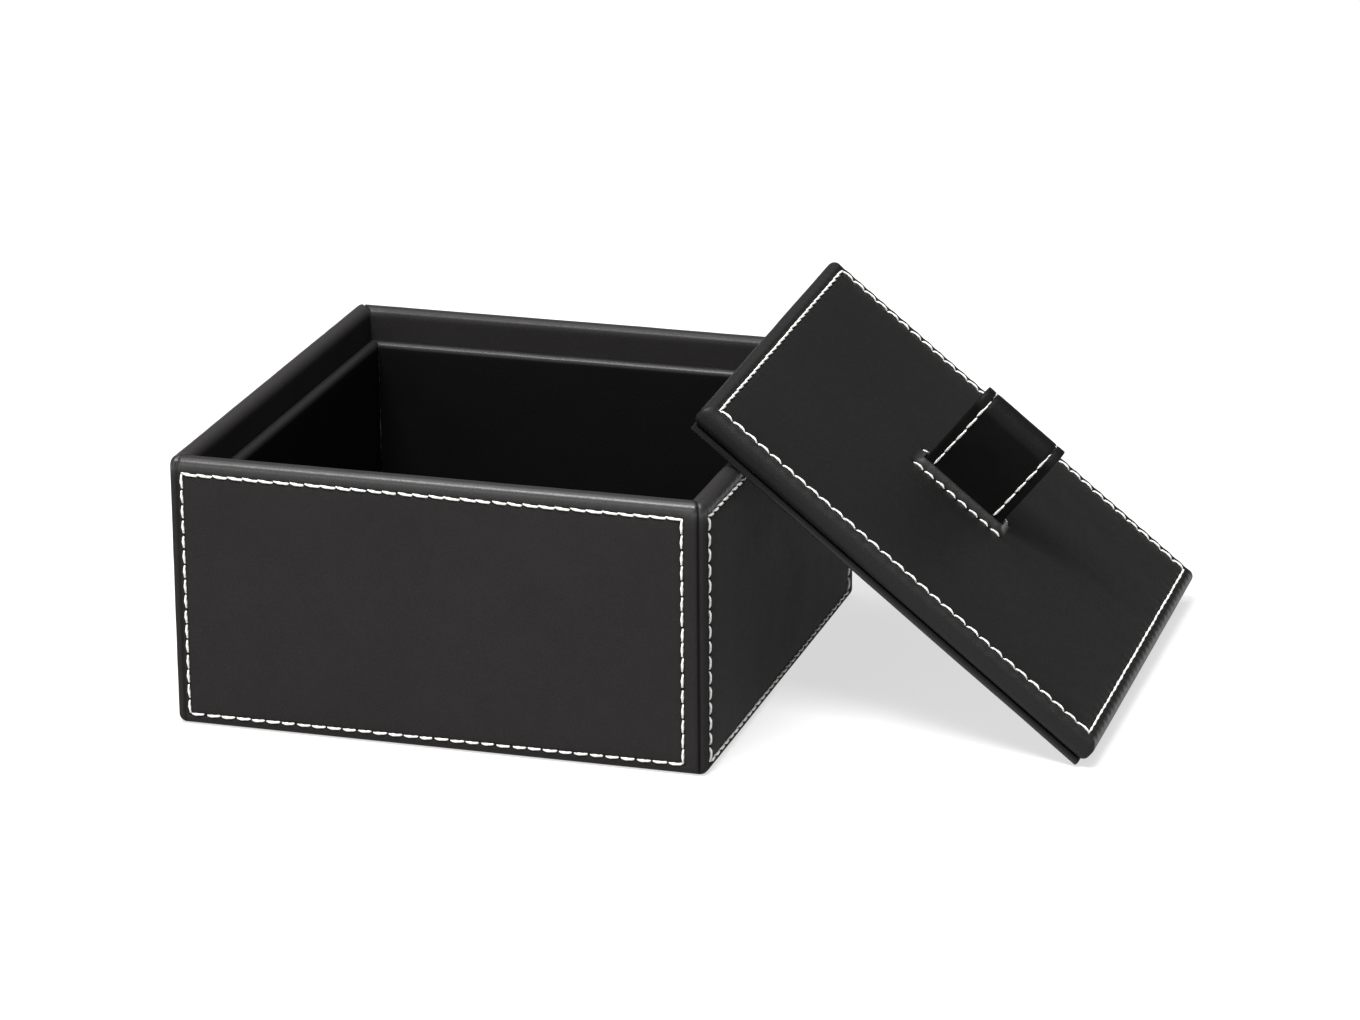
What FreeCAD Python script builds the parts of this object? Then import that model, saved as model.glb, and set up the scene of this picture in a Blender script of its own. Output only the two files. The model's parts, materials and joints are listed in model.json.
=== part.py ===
import FreeCAD, Part
import math
import os

import Sketcher

# A square jewelry box in padded black leatherette with a lift-off lid.
# The origin is the centre of the underside, +X is to the right, +Y to the back and +Z up.
# The lid leans on the right-hand rim, with its lower edge on the surface that the box stands on.

DRIVING_SIZES = (
    ("outer_width", 170.0, "box, outside, square in plan"),
    ("outer_height", 86.0, "box, underside to rim"),
    ("wall_thickness", 6.5, "outer wall, both covers, foam and board"),
    ("cover_sheet", 1.0, "leatherette sheet on the walls"),
    ("wall_foam", 1.5, "foam under the outer cover"),
    ("rim_radius", 3.0, "rolled rim"),
    ("foot_radius", 2.5, "turned lower edge"),
    ("corner_radius", 3.0, "upright corners"),
    ("wrap_depth", 36.0, "cover inside the wall, down from the rim"),
    ("underside_turn", 12.0, "cover turned under the base"),
    ("seam_inset", 2.1, "corner seam, in from the corner"),
    ("base_board_thickness", 3.0, "base board"),
    ("liner_drop", 10.0, "rim down to the liner's top edge"),
    ("liner_thickness", 4.5, "liner wall, covered"),
    ("liner_sheet", 1.0, "sheet on the liner"),
    ("liner_wrap", 20.0, "liner cover down its outer side"),
    ("liner_radius", 2.2, "liner's rounded top edge"),
    ("floor_board_thickness", 2.0, "floor panel board"),
    ("floor_sheet", 1.0, "floor panel lining"),
    ("thread_width", 0.9, "topstitch thread"),
    ("stitch_near", 4.5, "stitching in from the wrapped corner"),
    ("stitch_far", 7.25, "stitching in from the seamed corner"),
    ("stitch_top", 4.9, "stitching below the rim"),
    ("stitch_foot", 3.5, "stitching above the underside"),
    ("lid_width", 156.0, "lid, square"),
    ("lid_thickness", 10.0, "lid, overall"),
    ("lid_base_thickness", 2.6, "lid's lower panel"),
    ("lid_base_inset", 1.0, "lower panel in from the upper one"),
    ("lid_base_sheet", 0.6, "sheet round the lower panel"),
    ("lid_sheet", 1.0, "sheet over the lid"),
    ("lid_board_thickness", 2.8, "lid board"),
    ("lid_edge_radius", 3.0, "lid's rolled edges"),
    ("lid_turn_in", 15.0, "lid cover turned under its board"),
    ("lid_stitch", 4.5, "lid stitching in from the edge"),
    ("slot_length", 32.0, "slot for the strap"),
    ("slot_width", 4.5, "slot for the strap"),
    ("lip_width", 2.0, "raised lip round the slot"),
    ("lip_height", 1.8, "raised lip above the lid"),
    ("slot_row_length", 36.0, "stitch row beside the slot"),
    ("slot_row_offset", 6.0, "stitch row from the slot's centre"),
    ("strap_width", 31.0, "handle strap"),
    ("strap_leather", 1.1, "strap's outer layer"),
    ("strap_lining", 0.9, "strap's inner layer"),
    ("strap_stitch", 3.2, "strap stitching in from its edge"),
    ("loop_height", 33.0, "loop above the lid"),
    ("loop_radius", 5.0, "outside of the loop's fold"),
    ("flex_height", 3.3, "line about which the loop flexes, above the lid"),
    ("flex_radius", 2.0, "rounded foot of the loop"),
    ("finger_foot", 10.0, "lower end of the finger gap above the lid"),
    ("finger_foot_radius", 0.6, "lower end of the finger gap"),
    ("tail_reach", 12.0, "strap tail under the lid cover"),
    ("tail_thickness", 1.6, "strap tail"),
    ("lid_tilt", 39.1, "lid's slope as it leans, degrees"),
    ("lid_twist", 1.1, "lid's turn in its own plane, degrees"),
    ("lid_back_shift", 28.6, "lid's centre, back from the box's centre"),
    ("rest_gap", 0.3, "between the lid and the rim it leans on"),
    ("floor_gap", 0.2, "between the lid and the surface"),
)

SIDES = (("front", 0.0), ("right", 90.0), ("back", 180.0), ("left", 270.0))

doc = FreeCAD.newDocument("JewelryBox")
sheet = doc.addObject("Spreadsheet::Sheet", "Sizes")
for number, (alias, value, note) in enumerate(DRIVING_SIZES, start=1):
    sheet.set(f"A{number}", note)
    sheet.set(f"B{number}", str(value))
    sheet.setAlias(f"B{number}", alias)
doc.recompute()


class Size:
    """A length as its number and as the sheet expression that gives it."""

    def __init__(self, value, text):
        self.value = value
        self.text = text

    def combine(self, sign, other, value):
        return Size(value, f"({self.text} {sign} {as_size(other).text})")

    def __add__(self, other):
        return self.combine("+", other, self.value + as_size(other).value)

    def __sub__(self, other):
        return self.combine("-", other, self.value - as_size(other).value)

    def __mul__(self, factor):
        return self.combine("*", factor, self.value * factor)

    def __truediv__(self, factor):
        return self.combine("/", factor, self.value / factor)

    def __neg__(self):
        return Size(-self.value, f"(-1 * {self.text})")


def as_size(value):
    return value if isinstance(value, Size) else Size(float(value), repr(float(value)))


def size(alias):
    return Size(float(getattr(sheet, alias)), f"Sizes.{alias}")


def bind(target, prop, value):
    """Sets a property and ties it to the sheet."""
    target.setExpression(prop, as_size(value).text)


def origin_plane(body, role):
    return next(item for item in body.Origin.OriginFeatures if item.Role == role)


def new_body(name):
    return doc.addObject("PartDesign::Body", name)


def new_sketch(body, name, role, offset):
    sketch = body.newObject("Sketcher::SketchObject", name)
    sketch.AttachmentSupport = [(origin_plane(body, role), "")]
    sketch.MapMode = "FlatFace"
    bind(sketch, "AttachmentOffset.Base.z", offset)
    return sketch


def fix_point(sketch, geometry, end, point):
    """Holds one end of a line at a point measured from the sketch's origin."""
    for kind, value in zip(("DistanceX", "DistanceY"), point):
        value = as_size(value)
        number = sketch.addConstraint(Sketcher.Constraint(kind, -1, 1, geometry, end, value.value))
        bind(sketch, f"Constraints[{number}]", value)


def add_polygon(sketch, points):
    """A closed outline whose corners are each held by the sheet."""
    first = sketch.GeometryCount
    corners = [FreeCAD.Vector(as_size(x).value, as_size(y).value, 0) for x, y in points]
    for index, corner in enumerate(corners):
        following = corners[(index + 1) % len(corners)]
        sketch.addGeometry(Part.LineSegment(corner, following), False)
    for index, point in enumerate(points):
        following = first + (index + 1) % len(points)
        sketch.addConstraint(Sketcher.Constraint("Coincident", first + index, 2, following, 1))
        fix_point(sketch, first + index, 1, point)


def square(half):
    return ((-half, -half), (half, -half), (half, half), (-half, half))


def rectangle(left, low, right, high):
    return ((left, low), (right, low), (right, high), (left, high))


def add_pad(body, sketch, length, both_ways=False):
    pad = body.newObject("PartDesign::Pad", f"{body.Name}_pad")
    pad.Profile = sketch
    pad.Midplane = both_ways
    bind(pad, "Length", length)
    sketch.Visibility = False
    doc.recompute()
    return pad


def add_pocket_down(body, sketch, depth):
    """Sinks a sketch into the solid, downwards from the sketch."""
    before = body.Shape.Volume
    pocket = body.newObject("PartDesign::Pocket", f"{body.Name}_pocket")
    pocket.Profile = sketch
    bind(pocket, "Length", depth)
    doc.recompute()
    if pocket.Shape.Volume >= before:
        raise RuntimeError(f"{body.Name}: the pocket cuts nothing")
    return pocket


def edges_where(shape, wanted):
    return [f"Edge{number}" for number, edge in enumerate(shape.Edges, start=1) if wanted(edge)]


def is_upright(edge):
    return edge.BoundBox.XLength < 1e-6 and edge.BoundBox.YLength < 1e-6


def is_level_at(height):
    def wanted(edge):
        box = edge.BoundBox
        return abs(box.ZMin - height) < 1e-6 and abs(box.ZMax - height) < 1e-6

    return wanted


def add_fillet(body, wanted, radius):
    base = body.Tip
    fillet = body.newObject("PartDesign::Fillet", f"{body.Name}_round")
    fillet.Base = (base, edges_where(base.Shape, wanted))
    bind(fillet, "Radius", radius)
    doc.recompute()
    return fillet


def slab_body(name, half, bottom, top, upright=None, upper=None, lower=None):
    """A square slab, with its upright, upper and lower edges rounded where asked."""
    body = new_body(name)
    sketch = new_sketch(body, f"{name}_outline", "XY_Plane", bottom)
    add_polygon(sketch, square(half))
    add_pad(body, sketch, top - bottom)
    if upright is not None:
        add_fillet(body, is_upright, upright)
    if upper is not None:
        add_fillet(body, is_level_at(top.value), upper)
    if lower is not None:
        add_fillet(body, is_level_at(as_size(bottom).value), lower)
    return body


def well_body(name, half, bottom, top, mouth, depth, rim, upright, lower=None):
    """A square slab with a square well sunk into it and a rounded rim."""
    body = slab_body(name, half, bottom, top, upright=upright)
    if lower is not None:
        add_fillet(body, is_level_at(as_size(bottom).value), lower)
    sketch = new_sketch(body, f"{name}_mouth", "XY_Plane", top)
    add_polygon(sketch, square(mouth))
    add_pocket_down(body, sketch, depth)
    add_fillet(body, is_level_at(top.value), rim)
    return body


def box(name, left, front, low, right, back, high):
    """A plain block between two corners."""
    block = doc.addObject("Part::Box", name)
    for prop, near, far in (("Length", left, right), ("Width", front, back), ("Height", low, high)):
        bind(block, prop, far - near)
    for axis, near in (("x", left), ("y", front), ("z", low)):
        bind(block, f"Placement.Base.{axis}", near)
    return block


def block_body(name, half, bottom, top):
    half, bottom, top = as_size(half), as_size(bottom), as_size(top)
    return box(name, -half, -half, bottom, half, half, top)


def cut(name, base, tool):
    result = doc.addObject("Part::Cut", name)
    result.Base = base
    result.Tool = tool
    return result


def fuse(name, *shapes):
    result = doc.addObject("Part::MultiFuse", name)
    result.Shapes = list(shapes)
    return result


def common(name, base, tool):
    result = doc.addObject("Part::Common", name)
    result.Base = base
    result.Tool = tool
    return result


parts = []


def keep(piece, label, placement=None):
    """Names a finished piece and sets it in its place."""
    piece.Label = label
    if placement is not None:
        piece.Placement = placement
    parts.append(piece)
    return piece


# Levels and half widths shared by the walls, the liner and the base.
half_width = size("outer_width") / 2
rim_top = size("outer_height")
cover_inside = half_width - size("cover_sheet")
board_outside = cover_inside - size("wall_foam")
mouth_half = half_width - size("wall_thickness")
board_inside = mouth_half + size("cover_sheet")
board_top = rim_top - size("rim_radius")
underside_half = half_width - size("underside_turn")
base_level = size("cover_sheet")
base_top = base_level + size("base_board_thickness")
wrap_end = rim_top - size("wrap_depth")
beyond = half_width + 10.0


def quarter_prism(side, turn):
    """The wedge of space that one side's pieces take.

    Each side wraps round its left-hand corner and stops at a seam just short of the next one."""
    seam = half_width - size("seam_inset")
    body = new_body(f"quarter_{side}")
    sketch = new_sketch(body, f"quarter_{side}_outline", "XY_Plane", -10.0)
    centre = as_size(0.001)
    add_polygon(
        sketch,
        (
            (centre, centre),
            (-mouth_half, -mouth_half),
            (-beyond, -seam),
            (-beyond, -beyond),
            (seam, -beyond),
            (mouth_half, -mouth_half),
        ),
    )
    add_pad(body, sketch, rim_top + 20.0)
    body.Placement = FreeCAD.Placement(
        FreeCAD.Vector(), FreeCAD.Rotation(FreeCAD.Vector(0, 0, 1), turn)
    )
    return body


quarters = {side: quarter_prism(side, turn) for side, turn in SIDES}


def wall_threads():
    """A rectangle of topstitching half sunk in each wall's outer face."""
    threads = {}
    thread = size("thread_width")
    left = -half_width + size("stitch_near")
    right = half_width - size("stitch_far")
    low = size("stitch_foot")
    high = rim_top - size("stitch_top")
    face = -half_width - thread / 2
    inner_face = -half_width + thread / 2
    for side, turn in SIDES:
        outside = box(
            f"thread_{side}_outside",
            left - thread / 2, face, low - thread / 2,
            right + thread / 2, inner_face, high + thread / 2,
        )
        inside = box(
            f"thread_{side}_inside",
            left + thread / 2, face - 1.0, low + thread / 2,
            right - thread / 2, inner_face + 1.0, high - thread / 2,
        )
        threads[side] = keep(
            cut(f"thread_{side}", outside, inside),
            f"wall_stitching_{side}",
            FreeCAD.Placement(FreeCAD.Vector(), FreeCAD.Rotation(FreeCAD.Vector(0, 0, 1), turn)),
        )
    return threads


def wall_covers(threads):
    """The outer sheet: over the rolled rim, down inside the wall and under the base."""
    form = well_body(
        "cover_form", half_width, as_size(0.0), rim_top, mouth_half, size("wrap_depth"),
        size("rim_radius"), size("corner_radius"), size("foot_radius"),
    )
    hollow = well_body(
        "cover_hollow", cover_inside, base_level, rim_top - size("cover_sheet"), board_inside,
        size("wrap_depth") - size("cover_sheet"),
        size("rim_radius") - size("cover_sheet"),
        size("corner_radius") - size("cover_sheet"),
        size("foot_radius") - size("cover_sheet"),
    )
    window = block_body("underside_window", underside_half, -1.0, base_level + 1.0)
    below_wrap = block_body("below_wrap", board_inside, base_level, wrap_end)
    shell = cut("cover_shell", form, fuse("cover_removed", hollow, window, below_wrap))
    for side, _ in SIDES:
        whole = common(f"cover_whole_{side}", shell, quarters[side])
        keep(cut(f"cover_{side}", whole, threads[side]), f"wall_cover_{side}")
    return hollow


def wall_boards():
    outside = block_body("board_outside", board_outside, base_level, board_top)
    inside = block_body("board_inside", board_inside, base_level - 1.0, board_top + 1.0)
    ring = cut("board_ring", outside, inside)
    for side, _ in SIDES:
        keep(common(f"board_{side}", ring, quarters[side]), f"wall_board_{side}")


def wall_padding(hollow):
    """Foam on the outer face of the boards and over their top edges."""
    boards = block_body("foam_inside", board_outside, -1.0, board_top)
    foot = block_body("foam_foot", half_width, -1.0, size("foot_radius"))
    ring = cut("foam_ring", hollow, fuse("foam_removed", boards, foot))
    for side, _ in SIDES:
        keep(common(f"foam_{side}", ring, quarters[side]), f"wall_padding_{side}")


def base_pieces():
    keep(block_body("base_sheet", underside_half, 0.0, base_level), "base_underside")
    keep(block_body("base", board_inside, base_level, base_top), "base_board")


def liner_pieces():
    """Four covered boards inside the walls, whose rounded top edges carry the lid."""
    liner_top = rim_top - size("liner_drop")
    inside = mouth_half - size("liner_thickness")
    sheet_in = size("liner_sheet")
    low = base_top
    form = well_body(
        "liner_form", mouth_half, low, liner_top, inside, liner_top - low - 0.5,
        size("liner_radius"), 0.5,
    )
    core = well_body(
        "liner_core", mouth_half - sheet_in, low, liner_top - sheet_in, inside + sheet_in,
        liner_top - sheet_in - low - 0.5, size("liner_radius") - sheet_in, 0.4,
    )
    well_foot = block_body("liner_well_foot", inside + sheet_in, low - 1.0, low + 1.0)
    boards = cut("liner_boards", core, well_foot)
    cover_foot = block_body("liner_cover_foot", inside, low - 1.0, low + 1.0)
    outer_edge = block_body("liner_outer_edge", mouth_half + 1.0, low - 1.0, liner_top - size("liner_wrap"))
    outer_keep = block_body("liner_outer_keep", mouth_half - sheet_in, low - 2.0, rim_top)
    outer_strip = cut("liner_outer_strip", outer_edge, outer_keep)
    removed = fuse("liner_removed", core, cover_foot, outer_strip)
    covers = cut("liner_covers", form, removed)
    for side, _ in SIDES:
        keep(common(f"liner_board_{side}_solid", boards, quarters[side]), f"liner_board_{side}")
        keep(common(f"liner_cover_{side}_solid", covers, quarters[side]), f"liner_cover_{side}")
    floor_top = low + size("floor_board_thickness")
    keep(block_body("floor_panel", inside, low, floor_top), "floor_board")
    keep(block_body("floor_skin", inside, floor_top, floor_top + size("floor_sheet")), "floor_lining")


def leaning_placement():
    """The lid's place: its underside on the rim, and its nearer lower corner on the surface."""
    tilt = math.radians(size("lid_tilt").value)
    twist = math.radians(size("lid_twist").value)
    reach = (size("lid_width") / 2 - size("lid_base_inset")).value
    height = size("floor_gap").value + math.sin(tilt) * reach * (math.cos(twist) + math.sin(twist))
    rim_centre = (half_width - size("rim_radius")).value
    rim_level = board_top.value
    stand_off = (size("rim_radius") + size("rest_gap")).value
    across = rim_centre + (stand_off - math.cos(tilt) * (height - rim_level)) / math.sin(tilt)
    about_y = FreeCAD.Rotation(FreeCAD.Vector(0, 1, 0), size("lid_tilt").value)
    about_z = FreeCAD.Rotation(FreeCAD.Vector(0, 0, 1), size("lid_twist").value)
    place = FreeCAD.Vector(across, size("lid_back_shift").value, height)
    return FreeCAD.Placement(place, about_y.multiply(about_z))


lean = leaning_placement()

# The lid is drawn flat, with its underside at zero, and set leaning at the end.
lid_half = size("lid_width") / 2
lid_top = size("lid_thickness")
panel_low = size("lid_base_thickness")
card_low = panel_low - size("lid_base_sheet")
core_low = panel_low + size("lid_sheet")
core_top = lid_top - size("lid_sheet")
lid_board_top = core_low + size("lid_board_thickness")
tail_top = lid_board_top + size("tail_thickness")
turn_half = lid_half - size("lid_turn_in")


def lid_edge_thread(name):
    """One turn of thread round the lid's top, half sunk."""
    thread = size("thread_width")
    low = lid_top - thread / 2
    high = lid_top + thread / 2
    line = lid_half - size("lid_stitch")
    outside = block_body(f"{name}_outside", line + thread / 2, low, high)
    inside = block_body(f"{name}_inside", line - thread / 2, low - 1.0, high + 1.0)
    return cut(name, outside, inside)


def slot_rows(name):
    """A row of thread on each side of the slot, half sunk."""
    thread = size("thread_width")
    low = lid_top - thread / 2
    high = lid_top + thread / 2
    half_row = size("slot_row_length") / 2
    offset = size("slot_row_offset")
    rows = [
        box(
            f"{name}_{place}", -half_row, middle - thread / 2, low,
            half_row, middle + thread / 2, high,
        )
        for place, middle in (("near", -offset), ("far", offset))
    ]
    return fuse(name, *rows)


def strap_tails(name):
    """The two ends of the strap, up through the slot and spread under the lid cover."""
    half_strap = size("strap_width") / 2
    reach = size("tail_reach")
    neck = size("flex_radius")
    neck_top = lid_top + size("lip_height") / 2
    spread = box(f"{name}_spread", -half_strap, -reach, lid_board_top, half_strap, reach, tail_top)
    upright = box(f"{name}_neck", -half_strap, -neck, lid_board_top, half_strap, neck, neck_top)
    return fuse(name, spread, upright)


def slot_lip():
    """The raised edge of the slot, a ring of leather standing on the lid cover."""
    half_long = size("slot_length") / 2 + size("lip_width")
    half_wide = size("slot_width") / 2 + size("lip_width")
    body = new_body("lip")
    sketch = new_sketch(body, "lip_outline", "XY_Plane", core_top)
    add_polygon(sketch, rectangle(-half_long, -half_wide, half_long, half_wide))
    add_pad(body, sketch, size("lid_sheet") + size("lip_height"))
    add_fillet(body, is_upright, size("lip_width"))
    add_fillet(body, is_level_at((lid_top + size("lip_height")).value), size("lip_width") / 2)
    return body


def lid_pieces():
    radius = size("lid_edge_radius")
    inner_radius = radius - size("lid_sheet")
    form = slab_body("lid_form", lid_half, panel_low, lid_top, radius, radius, radius)
    core = slab_body(
        "lid_core", lid_half - size("lid_sheet"), core_low, core_top,
        inner_radius, inner_radius, inner_radius,
    )
    window = block_body("lid_window", turn_half, panel_low - 1.0, core_low + 1.0)
    half_slot = size("slot_length") / 2
    half_gap = size("slot_width") / 2
    slot = box(
        "slot", -half_slot, -half_gap, lid_board_top, half_slot, half_gap, lid_top + 5.0
    )
    grooves = fuse("lid_grooves", lid_edge_thread("lid_groove"), slot_rows("slot_grooves"))
    lipped = fuse("lid_lipped", form, slot_lip())
    removed = fuse("lid_removed", core, window, slot, grooves)
    board_space = block_body("lid_board_space", lid_half, core_low - 1.0, lid_board_top)
    foam_removed = fuse("lid_foam_removed", board_space, strap_tails("tail_space"))

    keep(cut("lid_skin", lipped, removed), "lid_cover", lean)
    keep(common("lid_stiffener", core, board_space), "lid_board", lean)
    keep(cut("lid_foam", core, foam_removed), "lid_padding", lean)
    keep(slab_body("lid_card", turn_half, card_low, core_low), "lid_filler_card", lean)
    keep(lid_edge_thread("lid_thread"), "lid_stitching", lean)
    keep(slot_rows("slot_thread"), "slot_stitching", lean)
    keep(strap_tails("tails"), "handle_tails", lean)


def lid_base_pieces():
    """The thin covered panel that lines the lid's underside."""
    half = lid_half - size("lid_base_inset")
    sheet_in = size("lid_base_sheet")
    form = slab_body("lid_base_form", half, as_size(0.0), panel_low, upright=sheet_in)
    board_half = half - sheet_in
    space = block_body("lid_base_space", board_half, sheet_in, card_low)
    window = block_body("lid_base_window", turn_half, card_low - 1.0, panel_low + 1.0)
    removed = fuse("lid_base_removed", space, window)
    keep(cut("lid_base_skin", form, removed), "lid_base_cover", lean)
    keep(slab_body("lid_base_stiffener", board_half, sheet_in, card_low), "lid_base_board", lean)


# The strap's loop is a narrow drop: a small round foot, straight legs and a round fold.
flex_level = lid_top + size("flex_height")
fold_level = lid_top + size("loop_height") - size("loop_radius")
gap_level = lid_top + size("finger_foot")
strap_thickness = size("strap_leather") + size("strap_lining")


def drop_body(name, foot_level, foot_radius, fold_radius, width):
    """A prism across the strap whose outline is the drop round two circles."""
    body = new_body(name)
    sketch = new_sketch(body, f"{name}_outline", "YZ_Plane", 0.0)
    foot_level, foot_radius, fold_radius = map(as_size, (foot_level, foot_radius, fold_radius))
    lean_out = math.asin(
        (fold_radius.value - foot_radius.value) / (fold_level.value - foot_level.value)
    )
    normal = FreeCAD.Vector(0, 0, 1)

    def arc(level, radius, start, end):
        circle = Part.Circle(FreeCAD.Vector(0, level.value, 0), normal, radius.value)
        return Part.ArcOfCircle(circle, start, end)

    fold = arc(fold_level, fold_radius, -lean_out, math.pi + lean_out)
    foot = arc(foot_level, foot_radius, math.pi + lean_out, 2 * math.pi - lean_out)
    left_leg = Part.LineSegment(fold.EndPoint, foot.StartPoint)
    right_leg = Part.LineSegment(foot.EndPoint, fold.StartPoint)
    for piece in (fold, left_leg, foot, right_leg):
        sketch.addGeometry(piece, False)
    for index in range(4):
        following = (index + 1) % 4
        sketch.addConstraint(Sketcher.Constraint("Tangent", index, 2, following, 1))
    for index, level, radius in ((0, fold_level, fold_radius), (2, foot_level, foot_radius)):
        sketch.addConstraint(Sketcher.Constraint("PointOnObject", index, 3, -2))
        number = sketch.addConstraint(Sketcher.Constraint("Radius", index, radius.value))
        bind(sketch, f"Constraints[{number}]", radius)
        number = sketch.addConstraint(
            Sketcher.Constraint("DistanceY", -1, 1, index, 3, level.value)
        )
        bind(sketch, f"Constraints[{number}]", level)
    add_pad(body, sketch, width, both_ways=True)
    return body


def strap_threads(name):
    """A run of thread near each edge of the strap, over the fold and down both legs."""
    thread = size("thread_width")
    offset = size("strap_width") / 2 - size("strap_stitch")
    foot = size("flex_radius")
    fold = size("loop_radius")
    half = thread / 2
    outside = drop_body(f"{name}_outside", flex_level, foot + half, fold + half, size("strap_width"))
    inside = drop_body(f"{name}_inside", flex_level, foot - half, fold - half, size("strap_width"))
    band = cut(f"{name}_band", outside, inside)
    low = flex_level + 3.0
    high = lid_top + size("loop_height") + 5.0
    lines = [
        box(
            f"{name}_{place}", middle - half, -(fold + 5.0), low,
            middle + half, fold + 5.0, high,
        )
        for place, middle in (("left", -offset), ("right", offset))
    ]
    return common(name, band, fuse(f"{name}_lines", *lines))


def handle_pieces():
    lining_form = drop_body(
        "lining_form", gap_level, size("finger_foot_radius") + size("strap_lining"),
        size("loop_radius") - size("strap_leather"), size("strap_width"),
    )
    gap = drop_body(
        "finger_gap", gap_level, size("finger_foot_radius"),
        size("loop_radius") - strap_thickness, size("strap_width") + 2.0,
    )
    form = drop_body(
        "strap_form", flex_level, size("flex_radius"), size("loop_radius"), size("strap_width")
    )
    removed = fuse("strap_removed", lining_form, strap_threads("strap_grooves"))
    keep(cut("strap", form, removed), "handle_strap", lean)
    keep(cut("lining", lining_form, gap), "handle_lining", lean)
    keep(strap_threads("strap_thread"), "handle_stitching", lean)


def check_and_write():
    doc.recompute()
    failed = [item.Name for item in doc.Objects if {"Invalid", "Error"} & set(item.State)]
    if failed:
        raise RuntimeError(f"not computed: {failed}")
    for piece in parts:
        if piece.Shape.isNull() or not piece.Shape.isValid() or not piece.Shape.Solids:
            raise RuntimeError(f"bad shape: {piece.Label}")
    os.makedirs("parts", exist_ok=True)
    for piece in parts:
        piece.Shape.exportStep(f"parts/{piece.Label}.step")
        print(f"{piece.Label}: {len(piece.Shape.Solids)} solid(s), {piece.Shape.Volume:.0f} mm3")


threads = wall_threads()
hollow = wall_covers(threads)
wall_boards()
wall_padding(hollow)
base_pieces()
liner_pieces()
lid_pieces()
lid_base_pieces()
handle_pieces()
check_and_write()
flex_point = lean.multVec(FreeCAD.Vector(0, 0, flex_level.value))
flex_line = lean.Rotation.multVec(FreeCAD.Vector(1, 0, 0))
print("lid placed at", lean.Base, "and the loop flexes about", flex_line, "through", flex_point)
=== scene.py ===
import functools
import itertools
import json
import math

import bmesh
import bpy
import numpy as np
from mathutils import Matrix, Vector


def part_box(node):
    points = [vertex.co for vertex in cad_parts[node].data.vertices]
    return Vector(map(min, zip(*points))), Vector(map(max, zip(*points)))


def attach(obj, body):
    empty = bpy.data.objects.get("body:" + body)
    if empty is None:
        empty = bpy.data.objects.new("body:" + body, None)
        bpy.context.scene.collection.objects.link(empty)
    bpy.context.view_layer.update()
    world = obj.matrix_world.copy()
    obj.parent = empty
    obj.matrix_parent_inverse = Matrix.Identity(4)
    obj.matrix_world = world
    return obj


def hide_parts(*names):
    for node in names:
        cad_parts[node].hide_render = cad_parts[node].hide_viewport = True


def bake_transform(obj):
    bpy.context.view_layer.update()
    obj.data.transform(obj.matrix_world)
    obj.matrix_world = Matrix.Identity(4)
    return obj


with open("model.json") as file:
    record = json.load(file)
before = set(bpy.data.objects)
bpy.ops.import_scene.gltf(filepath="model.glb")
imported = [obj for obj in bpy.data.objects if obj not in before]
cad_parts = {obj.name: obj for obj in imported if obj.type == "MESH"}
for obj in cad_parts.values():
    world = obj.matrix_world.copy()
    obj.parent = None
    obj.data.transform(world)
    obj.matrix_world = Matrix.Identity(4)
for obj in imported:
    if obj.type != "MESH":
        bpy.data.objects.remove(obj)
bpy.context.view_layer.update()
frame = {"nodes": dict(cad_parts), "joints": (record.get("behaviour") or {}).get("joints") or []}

mm = 0.001  # sizes below are in millimetres, meshes are written in metres


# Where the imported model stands

def nodeBox(name):
    low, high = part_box(name)
    return np.array(low) / mm, np.array(high) / mm


rimTop = round(nodeBox("wall_cover_front")[1][2], 3)
outerHalf = -round(nodeBox("wall_cover_front")[0][1], 3)
linerTop = round(nodeBox("liner_cover_front")[1][2], 3)
floorTop = round(nodeBox("floor_lining")[1][2], 3)

flexJoint = next(j for j in frame["joints"] if j["name"] == "handle_flex")
flexAxis = np.array(flexJoint["axis"])
flexPoint = np.array(flexJoint["pos_m"]) / mm
flexHeight = 13.3  # flex line above the lid's underside
lidTilt = math.atan2(-flexAxis[2], flexAxis[0])
lidAcross = flexAxis / np.linalg.norm(flexAxis)
lidUp = np.array([math.sin(lidTilt), 0.0, math.cos(lidTilt)])
lidAlong = np.cross(lidUp, lidAcross)
lidOrigin = flexPoint - lidUp * flexHeight


def leaned(points):
    return lidOrigin + points[..., :1] * lidAcross + points[..., 1:2] * lidAlong + points[..., 2:] * lidUp


def leanedDirection(vectors):
    return vectors[..., :1] * lidAcross + vectors[..., 1:2] * lidAlong + vectors[..., 2:] * lidUp


def quarterTurned(points, quarter):
    angle = quarter * math.pi / 2
    c, s = round(math.cos(angle)), round(math.sin(angle))
    turned = np.array(points, float)
    turned[..., 0] = c * points[..., 0] - s * points[..., 1]
    turned[..., 1] = s * points[..., 0] + c * points[..., 1]
    return turned


# Camera and studio

camera = {
    "target": (-0.5, -5.0, 40.0),
    "yaw": 0.295165,
    "pitch": 0.329063,
    "roll": -0.0078,
    "shift": (-51.175, -10.004),
    "distance": 1768.478,
    "lens": 148.969,
    "sensor": 36.0,
    "near": 0.05,
    "far": 30.0,
}


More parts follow.
